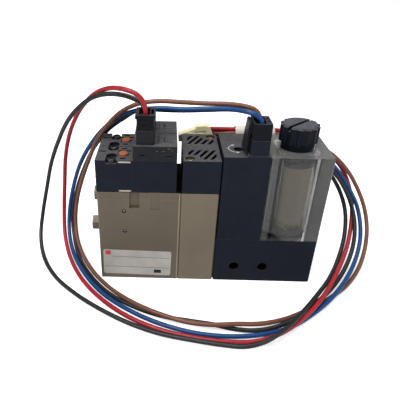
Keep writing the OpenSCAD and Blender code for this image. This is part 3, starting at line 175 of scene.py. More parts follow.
def moulded(name, colour, top_sheen=None, rough=0.5, grain=1.0, edge=None, shine=0.38):
    """Moulded plastic: fine grain, slow blotches, painted top sheen on what faces up, broken into dust-like
    specks, and paler edges, partly rubbed wear and partly painted highlight.
    """
    n = Nodes(name)
    blotch = n.noise(0.006, 4.0)
    darker = shaded(colour, 0.82)
    tint = n.mix(n.ranged(blotch, 0.35, 0.7), darker, colour)
    # painted top sheen: faces that face up are lightened, broken into dust-like specks
    if top_sheen:
        speck = n.ranged(n.noise(0.0009, 5.0, rough=0.7), 0.42, 0.62, 0.55, 1.0)
        tint = n.mix(n.math("MULTIPLY", n.facing_up(), speck), tint, top_sheen)
    # paler edges: partly rubbed wear, partly painted highlight
    if edge:
        tint = n.mix(n.math("MULTIPLY", n.edges(0.0002), WEAR_AND_HIGHLIGHT_SHARE), tint, edge)
    n.link(tint, n.shader.inputs["Base Color"])
    uneven = n.ranged(n.noise(0.0025, 4.0), 0.3, 0.7, rough - 0.08, rough + 0.1)
    n.link(uneven, n.shader.inputs["Roughness"])
    n.set(Specular_IOR_Level=shine)
    n.bump(n.noise(0.00022, 2.0), 0.22 * grain, 0.00003)
    n.bump(n.noise(0.004, 2.0), 0.1, 0.0001)
    return n.material


def blasted_metal(name, colour, pale):
    """Satin aluminium: fine blasted grain, cloudy tone, a few faint scratches, and paler edges, partly
    rubbed wear and partly painted highlight.
    """
    n = Nodes(name)
    cloud = n.ranged(n.noise(0.012, 3.0), 0.3, 0.75)
    darker = shaded(colour, 0.86)
    tint = n.mix(cloud, darker, colour)
    scratch = n.ranged(n.noise(0.0011, 3.0, stretch=(0.05, 1.0, 1.35), rough=0.7), 0.735, 0.765, 0.0, 0.3)
    tint = n.mix(scratch, tint, pale)
    # paler edges: partly rubbed wear, partly painted highlight
    tint = n.mix(n.math("MULTIPLY", n.edges(0.0003), WEAR_AND_HIGHLIGHT_SHARE), tint, pale)
    n.link(tint, n.shader.inputs["Base Color"])
    n.set(Metallic=0.35)
    n.link(n.ranged(n.noise(0.003, 4.0), 0.3, 0.7, 0.4, 0.55), n.shader.inputs["Roughness"])
    n.bump(n.noise(0.00018, 3.0), 0.3, 0.00003)
    return n.material


def machined_metal(name, colour, rough=0.32, dull=0.7):
    """Plated or bare metal with turning marks and slight tarnish."""
    n = Nodes(name)
    tarnish = shaded(colour, dull)
    n.link(n.mix(n.ranged(n.noise(0.0012, 5.0), 0.35, 0.7), tarnish, colour), n.shader.inputs["Base Color"])
    n.set(Metallic=1.0)
    uneven = n.ranged(n.noise(0.0008, 4.0), 0.3, 0.7, rough - 0.1, rough + 0.15)
    n.link(uneven, n.shader.inputs["Roughness"])
    n.bump(n.noise(0.0004, 2.0, stretch=(1.0, 1.0, 6.0)), 0.15, 0.00002)
    return n.material


def insulation(name, colour):
    """Extruded lead insulation: a soft gloss, slow changes of tone and a faint drawn surface."""
    n = Nodes(name)
    darker = shaded(colour, 0.78)
    n.link(n.mix(n.ranged(n.noise(0.007, 3.0), 0.35, 0.7), darker, colour), n.shader.inputs["Base Color"])
    n.link(n.ranged(n.noise(0.002, 3.0), 0.3, 0.7, 0.3, 0.45), n.shader.inputs["Roughness"])
    n.set(Coat_Weight=0.08, Coat_Roughness=0.3, Specular_IOR_Level=0.3)
    n.bump(n.noise(0.0006, 2.0), 0.12, 0.00004)
    return n.material


def clear_plastic(name):
    """Clear polycarbonate, smoky grey with age, with moulding waves and a painted sheen on what faces up,
    where it lets less light through.
    """
    n = Nodes(name)
    n.set(Base_Color=(0.64, 0.64, 0.62, 1.0), IOR=1.49, Specular_IOR_Level=0.5)
    top_clearness = n.ranged(n.noise(0.002, 4.0), 0.3, 0.7, 0.78, 0.88)
    # painted top sheen: faces that face up let less light through and show more of the grey base colour
    clear = n.math("SUBTRACT", 1.0, n.math("MULTIPLY", n.facing_up(), n.math("SUBTRACT", 1.0, top_clearness)))
    n.link(clear, n.shader.inputs["Transmission Weight"])
    smoke = n.tree.nodes.new("ShaderNodeVolumeAbsorption")
    smoke.inputs["Color"].default_value = (0.08, 0.08, 0.1, 1.0)
    smoke.inputs["Density"].default_value = 115.0
    n.link(smoke.outputs["Volume"], n.tree.nodes["Material Output"].inputs["Volume"])
    n.link(n.ranged(n.noise(0.003, 2.0), 0.3, 0.7, 0.02, 0.07), n.shader.inputs["Roughness"])
    n.bump(n.noise(0.005, 1.0), 0.12, 0.0002)
    return n.material


def sintered(name, colour, dark, low, high):
    """Pressed porous element: a beige grain with pores, and painted shadow at its foot, between the heights
    low and high.
    """
    n = Nodes(name)
    grain = n.noise(0.00035, 5.0, rough=0.7)
    tint = n.mix(n.ranged(grain, 0.38, 0.62), shaded(colour, 0.72), colour)
    split = n.tree.nodes.new("ShaderNodeSeparateXYZ")
    n.link(n.place, split.inputs["Vector"])
    wave = n.ranged(n.noise(0.0025, 4.0), 0.3, 0.7, -0.0016, 0.0016)
    height = n.math("ADD", split.outputs["Z"], wave)
    # painted shadow: darker towards the element's foot
    foot_shadow = n.ranged(height, low, high, 0.8, 0.0)
    n.link(n.mix(foot_shadow, tint, dark), n.shader.inputs["Base Color"])
    n.set(Roughness=0.9)
    n.bump(grain, 0.5, 0.0001)
    return n.material


BLACK_FRONT = linear(23, 28, 38)
# painted top sheen on the black parts' upward faces
BLACK_TOP_SHEEN = linear(84, 84, 86)
BLACK_EDGE = linear(62, 64, 70)
PLUG_FRONT = linear(15, 18, 25)
# painted top sheen on the plugs' upward faces
PLUG_TOP_SHEEN = linear(50, 52, 55)
KNOB_SIDE = linear(14, 21, 30)
# painted top sheen on the knob's upward faces
KNOB_TOP_SHEEN = linear(82, 84, 90)
METAL = linear(116, 106, 90)
# painted shade: a darker copy of the metal colour, for the valve body
METAL_PAINTED_SHADE = linear(99, 90, 76)
METAL_PALE = linear(160, 152, 136)
MATT = 0.1  # specular level of matt plastic
FOOT_SHADOW_LOW, FOOT_SHADOW_HIGH = 0.0205, 0.0235  # metres above the floor, at the element's foot, where its painted shadow fades

FINISH = {
    "metal": blasted_metal("taupe satin metal", METAL, METAL_PALE),
    "metal_painted_shade": blasted_metal("taupe satin metal with painted shade", METAL_PAINTED_SHADE, METAL_PALE),
    "metal_chamfer_highlight": blasted_metal("painted highlight on a metal chamfer", linear(140, 131, 112), linear(186, 178, 158)),
    "metal_scuff": blasted_metal("scuffed metal", linear(84, 76, 64), METAL_PALE),
    "brass": machined_metal("brass", linear(190, 160, 95)),
    "steel": machined_metal("plated steel", linear(190, 186, 176)),
    "hex_plug": machined_metal("tarnished hex plugs", linear(120, 114, 102), 0.45),
    "dark_steel": machined_metal("blackened steel", linear(70, 70, 72), 0.45),
    "rubber": moulded("seal rubber", linear(30, 30, 32), rough=0.75),
    "pilot_plastic": moulded("black moulded plastic", BLACK_FRONT, BLACK_TOP_SHEEN, 0.5, 1.0, BLACK_EDGE, MATT),
    "cover_plastic": moulded("black cover plastic", BLACK_FRONT, BLACK_TOP_SHEEN, 0.52, 1.2, BLACK_EDGE, MATT),
    "coil_cover": moulded("dusty coil cover", linear(35, 36, 41), BLACK_TOP_SHEEN, 0.52, 1.2, BLACK_EDGE, MATT),
    "plug": moulded("black plug plastic", PLUG_FRONT, PLUG_TOP_SHEEN, 0.4, 0.5, BLACK_EDGE, MATT),
    "knob": moulded("dark knob plastic", KNOB_SIDE, KNOB_TOP_SHEEN, 0.42, 0.5, BLACK_EDGE, MATT),
    "copper": machined_metal("enamelled copper", linear(176, 104, 62)),
    "orange": moulded("orange button plastic", linear(164, 92, 58), rough=0.45, grain=0.5, shine=0.25),
    "pins": machined_metal("gold plated pins", linear(214, 190, 120), 0.25),
    "pad": moulded("silencer felt", linear(30, 30, 32), rough=0.95, grain=3.0, shine=MATT),
    "zinc": machined_metal("yellow zinc", linear(150, 132, 86), 0.42, 0.5),
    "board": moulded("circuit board", linear(40, 92, 60), rough=0.4, grain=0.4),
    "trimmer_plastic": moulded("trimmer plastic", linear(24, 25, 28), rough=0.5, grain=0.4, shine=MATT),
    "clear_case": clear_plastic("clear polycarbonate"),
    "element": sintered("sintered element", linear(232, 218, 188), linear(60, 57, 50), FOOT_SHADOW_LOW, FOOT_SHADOW_HIGH),
    "holder": moulded("element holder", linear(120, 120, 116), rough=0.5),
    "cream": moulded("cream nylon", linear(240, 230, 190), None, 0.42, 0.4, linear(246, 238, 208)),
    "sleeve": moulded("sleeve plastic", linear(214, 206, 194), rough=0.55, grain=0.6),
    "plate": moulded("label film", linear(172, 168, 163), rough=0.36, grain=0.2),
    "red_wire": insulation("red insulation", linear(160, 24, 38)),
    "black_wire": insulation("black insulation", linear(26, 30, 33)),
    "brown_wire": insulation("brown insulation", linear(116, 72, 54)),
    "blue_wire": insulation("blue insulation", linear(0, 62, 118)),
    "red_print": moulded("red print", linear(196, 66, 34), rough=0.4, grain=0.2),
    "dark_print": moulded("dark print", linear(40, 40, 43), rough=0.5, grain=0.2, shine=MATT),
    # painted shade: black for recesses, seams, gaps and holes where light doesn't reach
    "black_shade": moulded("painted black shade", linear(8, 9, 11), rough=0.7, grain=0.2, shine=0.05),
    "pale_print": moulded("worn pale marks", linear(92, 92, 94), rough=0.6, grain=0.4, shine=MATT),
    "white_print": moulded("white print", linear(205, 205, 206), rough=0.5, grain=0.2),
}

# --------------------------------------------------------------------- pieces
CREASE = math.radians(35)  # an edge that turns by more than this stays sharp or is rounded
ROUND_STEPS = 2


def finished(piece, slot_name, body="housing", finish=None):
    """Gives a piece its finish and material slot, and lets it ride on a body."""
    piece.data.materials.clear()
    piece.data.materials.append(FINISH[finish or slot_name])
    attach(piece, body)
    return piece


def piece_from(name, bm):
    """A scene object of its own, smooth but for its creases."""
    mesh = bpy.data.meshes.new(name)
    bmesh.ops.recalc_face_normals(bm, faces=bm.faces)
    bm.to_mesh(mesh)
    bm.free()
    for polygon in mesh.polygons:
        polygon.use_smooth = True
    mesh.set_sharp_from_angle(angle=CREASE)
    piece = bpy.data.objects.new(name, mesh)
    bpy.context.scene.collection.objects.link(piece)
    return piece


def round_edges(piece, width):
    """Rounds a piece's sharp edges for good, by width in millimetres."""
    modifier = piece.modifiers.new("edges", "BEVEL")
    modifier.width = width * MM
    modifier.segments = ROUND_STEPS
    modifier.limit_method = "ANGLE"
    modifier.angle_limit = CREASE
    modifier.use_clamp_overlap = True
    weighted = piece.modifiers.new("normals", "WEIGHTED_NORMAL")
    weighted.weight = 80
    weighted.keep_sharp = True
    bpy.context.view_layer.update()
    evaluated = piece.evaluated_get(bpy.context.evaluated_depsgraph_get())
    mesh = bpy.data.meshes.new_from_object(evaluated)
    piece.modifiers.clear()
    piece.data = mesh


def rounded(node, slot_name, body="housing", width=0.15, finish=None, change=None):
    """A CAD node's shape with its flat faces joined up and its edges rounded, in place of the node."""
    bm = bmesh.new()
    bm.from_mesh(frame["nodes"][node].data)
    bmesh.ops.remove_doubles(bm, verts=bm.verts, dist=1e-6)
    bmesh.ops.dissolve_limit(bm, angle_limit=math.radians(0.3), verts=bm.verts, edges=bm.edges)
    if change:
        change(bm)
    piece = piece_from(node + "_shell", bm)
    if width:
        round_edges(piece, width)
    finished(piece, slot_name, body, finish)
    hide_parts(node)
    return piece


def box_into(bm, low, high):
    """Adds a box between two corners, in CAD millimetres."""
    a, b = at(*low), at(*high)
    made = bmesh.ops.create_cube(bm, size=1.0)
    size = b - a
    centre = (a + b) / 2
    place = Matrix.Translation(centre) @ Matrix.Diagonal((*size, 1.0))
    bmesh.ops.transform(bm, matrix=place, verts=made["verts"])


def prism_into(bm, first, last):
    """Adds a solid between two outlines with as many corners each, in CAD millimetres."""
    first = [bm.verts.new(at(*corner)) for corner in first]
    last = [bm.verts.new(at(*corner)) for corner in last]
    bm.faces.new(first)
    bm.faces.new(last[::-1])
    join_rows(bm, first, last)


def join_rows(bm, row, following):
    """Adds a closed band of faces between two rows of corners."""
    for i in range(len(row)):
        j = (i + 1) % len(row)
        bm.faces.new((row[i], following[i], following[j], row[j]))


def outline_into(bm, points, low, high):
    """Adds a flat outline in X and Z, extruded along Y from low to high."""
    prism_into(bm, [(x, low, z) for x, z in points], [(x, high, z) for x, z in points])


def tube_into(bm, centre, inside, outside, low, high, steps=32):
    """Adds a tube along Y about a centre in X and Z, from low to high."""
    rows = []
    for radius, y in ((inside, low), (outside, low), (outside, high), (inside, high)):
        circle = arc(centre, radius, 0, 360, steps)[:-1]
        rows.append([bm.verts.new(at(x, y, z)) for x, z in circle])
    for row, following in zip(rows, rows[1:] + rows[:1]):
        join_rows(bm, row, following)


def flat_into(bm, points, z, thick):
    """Adds a flat outline in X and Y, standing on z."""
    prism_into(bm, [(x, y, z) for x, y in points], [(x, y, z + thick) for x, y in points])


def arc(centre, radius, first, last, steps):
    """Points on an arc about centre, from the angle first to last, in degrees."""
    angles = [math.radians(first + (last - first) * i / steps) for i in range(steps + 1)]
    return [(centre[0] + radius * math.cos(a), centre[1] + radius * math.sin(a)) for a in angles]


def band(centre, inside, outside, first, last, steps=24):
    """Four-cornered fields that make up an arc of some width."""
    inner = arc(centre, inside, first, last, steps)
    outer = arc(centre, outside, first, last, steps)
    for i in range(steps):
        yield [inner[i], outer[i], outer[i + 1], inner[i + 1]]


# ---------------------------------------------------------------------- leads
LEAD_D = 1.55
LEAD_FACETS = 3  # of each quarter of a lead's section

ROUTES = {
    # points between each lead's plug and the sleeve, in CAD millimetres
    "red": [
        (16.2, 3.6, 62.6), (15.6, 4, 65.4), (13.6, 4.8, 67.6), (10.2, 6.2, 68.6), (5, 10, 68),
        (-0.2, 14.2, 65.2), (-5, 17.8, 60.4), (-9.2, 21.2, 54), (-12.8, 24.2, 46), (-15.4, 26.2, 36.4),
        (-16.8, 26.4, 25.4), (-17.4, 23.6, 15.2), (-16.6, 17.4, 7), (-13.2, 8.2, 2.6), (-6.8, -3, 1),
        (2, -13.6, 1), (12, -21.6, 1), (22.4, -26.8, 1), (33, -29.8, 1.2), (42.8, -31.4, 1.6),
        (50.4, -31.6, 2), (56.8, -29.8, 2.4), (63.4, -25.8, 2.6), (70.4, -20, 3.4), (77.6, -12, 4.6),
        (84.8, -1.6, 6.4), (91, 9.2, 9.4), (94.8, 18.4, 13.4), (96.2, 25, 18.4), (95, 28.8, 24.8),
        (91, 30.2, 32), (84.4, 29.8, 38.6), (76.8, 28.2, 43.9), (68.8, 26, 47.4),
    ],
    "black": [
        (16, 6.8, 62.2), (14.8, 7.2, 64.2), (12.4, 8.2, 65.2), (9, 9.2, 66), (4.2, 10.4, 66),
        (-0.8, 12.2, 64.4), (-6, 14.8, 60.4), (-11.4, 18, 54), (-16.2, 21.4, 45.2), (-20.6, 24, 34.8),
        (-23.8, 25.2, 23.6), (-26, 23, 13.6), (-26.4, 17.4, 6.2), (-23.6, 8.8, 2.2), (-17.4, -1.2, 1),
        (-8.2, -10.6, 1), (2.2, -18.4, 1), (12.8, -24.6, 1), (22.6, -28.8, 1.4), (32.6, -31.6, 2),
        (41, -33.4, 2.4), (47.8, -34.4, 3), (53.6, -33.2, 3.8), (60, -29, 4.4), (67, -22, 4.6),
        (74.6, -12.8, 4.4), (82.4, -2.6, 5), (88.4, 7.6, 7.4), (92.2, 16.4, 11.6), (93.2, 23, 17.2),
        (91.2, 27.2, 23.4), (87, 29.2, 29.6), (81, 29.4, 35.6), (74.4, 28.7, 41), (68, 27.8, 46.5),
    ],
    "brown": [
        (51.8, 6.4, 60.8), (50.6, 6.8, 62.4), (48.4, 7.6, 63.2), (42.6, 11, 63), (35.4, 13.2, 62.4),
        (27.8, 14.8, 62.2), (20.2, 16.2, 62), (13.4, 17, 60.8), (7.6, 17.8, 57.8), (2.6, 18.8, 52.8),
        (-2.2, 20.2, 45.8), (-5.8, 21.8, 37.4), (-9.2, 22.8, 28.4), (-11.6, 22.2, 19.8),
        (-12.2, 18.8, 12), (-10.2, 12, 5.8), (-5, 3.2, 2.2), (3, -6.8, 1.4), (12.8, -16, 2.4),
        (22.6, -21.8, 2.8), (31.2, -24.8, 2.8), (38.8, -25.8, 3), (46.2, -25, 2.8), (54.2, -23.6, 1.8),
        (62.4, -20.6, 1), (71.2, -16, 1), (80, -10.2, 1), (88.6, -3, 1.2), (95.6, 5.4, 2.8),
        (100.2, 13.8, 6.4), (102.2, 20.8, 11.4), (101.4, 25.8, 17.6), (97.8, 28.2, 24.8),
        (92, 28.2, 32.6), (83.8, 26.6, 39.9), (73.2, 24.2, 45.6),
    ],
    "blue": [
        (51.8, 2.4, 60.6), (50.6, 2.8, 62), (48.4, 3.6, 62.8), (42.6, 8, 62.4), (35.8, 11, 61.4),
        (28.4, 13, 60.4), (21, 15, 60), (13.8, 17.2, 58.6), (7, 19.4, 55.6), (0.8, 21.4, 50.4),
        (-4.8, 23.4, 43.2), (-9.6, 25, 34.6), (-13, 25.4, 25), (-15, 23.4, 15.8), (-15, 18.4, 8.4),
        (-12.4, 10.2, 4.2), (-6.8, 0, 2.2), (1.6, -10.4, 1.2), (11.8, -18.4, 1), (22, -24, 1),
        (32.2, -27.4, 1), (41.6, -29, 1.4), (50, -28.8, 1.6), (57.4, -27.2, 1.6), (64.6, -23.8, 1.2),
        (72, -18.6, 1.4), (80, -11.8, 2.2), (87.4, -3.6, 3.8), (93.4, 5.2, 6.2), (97.2, 13.2, 10),
        (98.4, 19.6, 14.4), (97.4, 23.8, 19.4), (94, 26.2, 25.2), (89, 26.8, 31.8), (81.8, 26.2, 38.5),
        (72, 25.2, 44),
    ],
    "signal": [
        (51.8, 4.4, 60.4), (50.6, 4.8, 61.8), (48.4, 5.6, 62.4), (43, 10, 61.6), (36, 12.8, 60.4),
        (28.4, 14.8, 59.4), (21, 16.8, 58.8), (14, 18.9, 58.3), (7.6, 21.2, 54), (1.6, 23.8, 48.6),
        (-3.8, 25.2, 41.4), (-8.2, 25, 32.8), (-11.8, 24.4, 23.2), (-13.6, 21.8, 14.4),
        (-12.8, 16.6, 7.2), (-9.6, 8.2, 2.6), (-3.4, -1.8, 1), (4.8, -11, 1), (14.4, -17.2, 1),
        (23.6, -20.8, 1), (31.8, -22.6, 1.2), (38.8, -24, 1.4), (45.8, -25.4, 1), (52.6, -25.8, 1),
        (59.8, -24, 1.2), (67.4, -20, 2), (75.6, -13.2, 2.8), (83.4, -5.2, 3.6), (89.8, 3.2, 6),
        (94, 11, 9.8), (95.6, 17.4, 14.6), (94.8, 22, 19.8), (91.8, 24.6, 25.8), (86.8, 25.2, 32.2),
        (79.8, 24.6, 38.5), (71, 23.6, 44),
    ],
}

LEADS = {
    # route: plug exit, angle in the sleeve, row and level of its cell in the end connector, slot
    "red": ((16.2, 3.63, 61.0), 102, (0, 2), "red_wire"),
    "black": ((16.2, 6.87, 61.0), 30, (1, 1), "black_wire"),
    "brown": ((52.0, 6.35, 58.6), 174, (0, 1), "brown_wire"),
    "blue": ((52.0, 2.35, 58.6), 318, (1, 0), "blue_wire"),
    "signal": ((52.0, 4.35, 58.6), 246, (0, 0), "black_wire"),
}
ENTRY_DEPTH = 1.2  # how deep a lead starts in its plug
BUNDLE_R = 1.325  # from the sleeve's middle to each lead's
SLEEVE = (47.4, 24.2, 48.3)  # middle of the sleeve's left end
SLEEVE_L = 14.0
END_FACE = 39.4  # X of the end connector's open face
END_DEPTH = 1.8
CELL_Y = (24.3, 25.9)
CELL_Z = (46.1, 47.8, 49.5)
STEP = 1.0  # between the points of a drawn lead


def route_of(name):
    """All points that a lead follows, in CAD millimetres, from its plug to its cell in the connector."""
    (x, y, z), angle, (row, level), _ = LEADS[name]
    side = SLEEVE[1] + BUNDLE_R * math.cos(math.radians(angle))
    up = SLEEVE[2] + BUNDLE_R * math.sin(math.radians(angle))
    cell = (CELL_Y[row], CELL_Z[level])
    through = [(SLEEVE[0] + SLEEVE_L * part, side, up) for part in (1, 0.5, 0)]
    into = [(END_FACE + 1, *cell), (END_FACE - END_DEPTH, *cell)]
    return [(x, y, z - ENTRY_DEPTH), (x, y, z), *ROUTES[name], *through, *into]


def smooth_route(points):
    """The CAD source's own curve through the points: a centripetal Catmull-Rom spline."""
    p = [Vector(q) for q in points]
    p = [2 * p[0] - p[1], *p, 2 * p[-1] - p[-2]]

    def mix(a, b, t, u, v):
        return ((v - t) * a + (t - u) * b) / (v - u)

    line = []
    for a, b, c, d in zip(p, p[1:], p[2:], p[3:]):
        t1 = math.sqrt((b - a).length)
        t2 = t1 + math.sqrt((c - b).length)
        t3 = t2 + math.sqrt((d - c).length)
        steps = max(2, round((c - b).length / STEP))
        for k in range(steps):
            t = t1 + (t2 - t1) * k / steps
            ab, bc, cd = mix(a, b, t, 0, t1), mix(b, c, t, t1, t2), mix(c, d, t, t2, t3)
            line.append(mix(mix(ab, bc, t, 0, t2), mix(bc, cd, t, t1, t3), t, t1, t2))
    return line + [p[-2]]


def make_leads():
    """The five leads as round wires, each a cord of its true length that ends in the same connector."""
    for name, (_, _, _, slot_name) in LEADS.items():
        line = smooth_route(route_of(name))
        curve = bpy.data.curves.new(name + "_wire", "CURVE")
        curve.dimensions = "3D"
        curve.bevel_depth = LEAD_D / 2 * MM
        curve.bevel_resolution = LEAD_FACETS
        curve.use_fill_caps = True
        spline = curve.splines.new("POLY")
        spline.points.add(len(line) - 1)
        for point, place in zip(spline.points, line):
            point.co = (*at(*place), 1.0)
        spline.use_smooth = True
        wire = bpy.data.objects.new(name + "_wire", curve)
        bpy.context.scene.collection.objects.link(wire)
        finished(wire, slot_name)
        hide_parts(name + "_lead")


# ------------------------------------------------------------------ the unit
# Faces that carry marks or recesses, in CAD millimetres
HEAD_TOP = 47.6  # of the pilot valves' heads
CASE_TOP = 49.4
COVER_TOP = 52.6
PILOT_MIDDLES = (5.675, 17.325)
PRINT_T = 0.02
PROUD = 0.01  # how far a mark stands out of its face
SUNK = 0.02  # how far a mark reaches into its face

SHELLS = {
    # node: material slot, body, edge rounding in millimetres, finish where it isn't the slot's own
    # the valve body takes the darker copy of the metal, as painted shade
    "valve_body": ("metal", "housing", 0.22, "metal_painted_shade"),
    "ejector_body": ("metal", "housing", 0.22),
    "front_pilot_body": ("pilot_plastic", "housing", 0.2),
    "rear_pilot_body": ("pilot_plastic", "housing", 0.2),
    "front_coil_cover": ("cover_plastic", "housing", 0.2, "coil_cover"),
    "rear_coil_cover": ("cover_plastic", "housing", 0.2, "coil_cover"),
    "silencer_cover": ("cover_plastic", "housing", 0.18),
    "base_block": ("pilot_plastic", "housing", 0.22),
    "sensor_case": ("cover_plastic", "housing", 0.25),
    "connector_case": ("cover_plastic", "housing", 0.25),
    "filter_knob": ("knob", "knob", 0.15),
    "valve_plug": ("plug", "housing", 0.12),
    "switch_plug": ("plug", "housing", 0.12),
    "lead_sleeve": ("sleeve", "housing", 0.2),
    "end_connector": ("cream", "housing", 0.2),
    "nameplate": ("plate", "housing", 0),
    "front_override": ("orange", "front_button", 0.1),
    "rear_override": ("orange", "rear_button", 0.1),
    "element_holders": ("holder", "housing", 0.15),
    "filter_element": ("element", "housing", 0.3),
    "trimmer": ("trimmer_plastic", "trimmer_screw", 0.08),
}

PLAIN = {
    # finish: CAD nodes whose shape stays as it is
    "brass": "nozzle diffuser knob_insert",
    "hex_plug": "port_plugs",
    "steel": "pressed_balls assembly_bolts supply_spool release_spool pilot_cores front_armature "
             "rear_armature pilot_clips pressure_sensor",
    "dark_steel": "valve_screws",
    "rubber": "feed_seal valve_gasket base_gasket case_seal",
    "copper": "front_coil rear_coil",
    "pins": "pilot_pins switch_header",
    "pad": "silencer_pad",
    "zinc": "cover_screws",
    "board": "switch_board",
}


def dress_plain_nodes():
    for finish, names in PLAIN.items():
        for name in names.split():
            mesh = frame["nodes"][name].data
            mesh.materials.clear()
            mesh.materials.append(FINISH[finish])


def make_shells():
    return {node: rounded(node, *values) for node, values in SHELLS.items()}


def make_springs():
    """Each return spring that a joint lists as deforming, as a piece with a mesh of its own."""
    for joint in frame["record"]["behaviour"]["joints"]:
        for spring in joint.get("deforming_nodes", []):
            piece = rounded(spring["node"], "steel", width=0)
            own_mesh(piece)


def make_filter_case():
    """The clear case, drawn in a hair from its neighbours' faces, so that no two faces coincide."""
    hair = 0.03
    least = at(56.1 + hair, 0, 18 + hair)

    def drawn_in(bm):
        for vert in bm.verts:
            vert.co.x = max(vert.co.x, least.x)
            vert.co.z = max(vert.co.z, least.z)

    rounded("filter_case", "clear_case", "housing", 0.3, change=drawn_in)


def make_nameplate_print():
    """A red square, thin dividing rules and a small dark block, askew like the label: no words."""
    low, high = 0.01, 0.05
    middle_x, middle_z = 13.2, 7.0
    turn = math.radians(1.2)
    rule = 0.12

    def bar(bm, x, z, l, h):
        turned = []
        for dx, dz in ((0, 0), (l, 0), (l, h), (0, h)):
            dx, dz = x + dx - middle_x, z + dz - middle_z
            turned.append((middle_x + dx * math.cos(turn) + dz * math.sin(turn),
                           middle_z - dx * math.sin(turn) + dz * math.cos(turn)))
        outline_into(bm, turned, low, high)

    bm = bmesh.new()
    bar(bm, 1.75, 10.2, 1.9, 1.75)
    finished(piece_from("label_square", bm), "plate", finish="red_print")
    bm = bmesh.new()
    bar(bm, 4.4, 9.35, 20.3, rule)
    bar(bm, 1.6, 4.9, 23.2, rule)
    bar(bm, 19.4, 2.6, 2.6, 1.5)
    finished(piece_from("label_rules", bm), "plate", finish="dark_print")


def make_trimmer_marks():
    """The painted arc with its two arrowheads and its middle tick, beside the trimmer hole."""
    centre, first, last = (46.3, 7.1), 122, 258
    inside, outside = 2.95, 3.17
    head_middle, head_half, head_l = 3.05, 0.6, 0.9
    bm = bmesh.new()
    for corners in band(centre, inside, outside, first, last):
        flat_into(bm, corners, CASE_TOP, PRINT_T)
    for angle, way in ((first, -1), (last, 1)):
        a = math.radians(angle)
        along = Vector((-math.sin(a), math.cos(a))) * way
        out = Vector((math.cos(a), math.sin(a)))
        tip = Vector(centre) + out * head_middle + along * head_l
        sides = [Vector(centre) + out * (head_middle + side) for side in (-head_half, head_half)]
        flat_into(bm, [tip, *sides], CASE_TOP, PRINT_T)
    flat_into(bm, [(42.6, 7.2), (43.2, 7.2), (43.2, 7.5), (42.6, 7.5)], CASE_TOP, PRINT_T)
    finished(piece_from("trimmer_marks", bm), "trimmer_plastic", finish="white_print")


def make_cover_marks():
    """Dark moulding lines on the coil covers: a bracket and a frame on each top, edges on the front."""
    bm = bmesh.new()
    half = 0.14

    def line(x0, y0, x1, y1):
        box_into(bm, (x0 - half, y0 - half, COVER_TOP - SUNK), (x1 + half, y1 + half, COVER_TOP + PRINT_T))

    bracket_x, arm_x, frame_end = 20.4, 19.4, 25.0
    for low, high, arms in ((2.7, 8.7, (2.7, 8.7)), (15.5, 22.4, (15.5, 19.0, 22.4))):
        line(bracket_x, low, bracket_x, high)
        for y in arms:
            line(arm_x, y, bracket_x, y)
    for low, high, left in ((4.0, 7.8, 22.1), (16.0, 22.3, 21.9)):
        line(left, low, left, high)
        line(left, low, frame_end, low)
    box_into(bm, (12.62, -PROUD, 47.75), (12.84, SUNK, 52.3))
    finished(piece_from("cover_lines", bm), "cover_plastic", finish="dark_print")

    bm = bmesh.new()
    scuff_h = 0.25
    for x, z, l in ((19.7, 50.9, 0.5), (21.6, 50.9, 0.8), (23.3, 51.8, 0.7), (24.5, 51.2, 0.4)):
        box_into(bm, (x, -PROUD, z), (x + l, PROUD, z + scuff_h))
    finished(piece_from("cover_scuffs", bm), "cover_plastic", finish="pale_print")


def boxes_piece(name, slot_name, *boxes):
    """One piece of painted black shade, made of several boxes, each given by two corners."""
    bm = bmesh.new()
    for low, high in boxes:
        box_into(bm, low, high)
    finished(piece_from(name, bm), slot_name, finish="black_shade")


def make_dark_recesses():
    """Painted black shade on the floors of small recesses, along the seams and in gaps and holes, where no
    light gets in.
    """
    floor, deep = HEAD_TOP - 0.18, HEAD_TOP - 0.3
    slots = []
    for middle in PILOT_MIDDLES:
        for y in (middle - 3.9, middle + 3.9):
            # two wide ends joined by a narrow waist
            for left, right, half in ((8.05, 8.7, 0.42), (8.7, 9.1, 0.2), (9.1, 9.75, 0.42)):
                slots.append(((left, y - half, deep), (right, y + half, floor)))
        slots.append(((0.65, middle + 1.25, deep), (2.95, middle + 1.95, floor)))
    slots.append(((14.55, 0.08, 49.25), (16.25, 0.2, 49.65)))
    slots.append(((22.85, 0.08, 49.05), (24.85, 0.2, 49.45)))
    # painted shade on the floors of the slots in the pilot heads and on the front
    boxes_piece("pilot_recesses", "pilot_plastic", *slots)

    left, right = 48.3 - 0.16, 48.3 + 0.16
    # painted shade in the seam between the sensor case and the connector case
    boxes_piece("case_seam", "cover_plastic",
                ((left, 0.1, 18.2), (right, 0.5, 49.2)),
                ((left, 0.3, 49.0), (right, 19.8, 49.31)))
    # painted shadow in two narrow gaps between parts
    boxes_piece("gap_shadows", "rubber",
                ((26.45, 0.3, 36.0), (28.35, 22.7, 36.25)),
                ((40.65, 18.6, 30.0), (41.05, 19.4, 47.6)))

    # painted shadow inside the two mounting holes
    bm = bmesh.new()
    inside, outside, front, back, height = 1.66, 1.74, 0.2, 19.8, 6.4
    for x in (48.2, 58.4):
        tube_into(bm, (x, height), inside, outside, front, back)
    finished(piece_from("mount_hole_shadows", bm), "pilot_plastic", finish="black_shade")


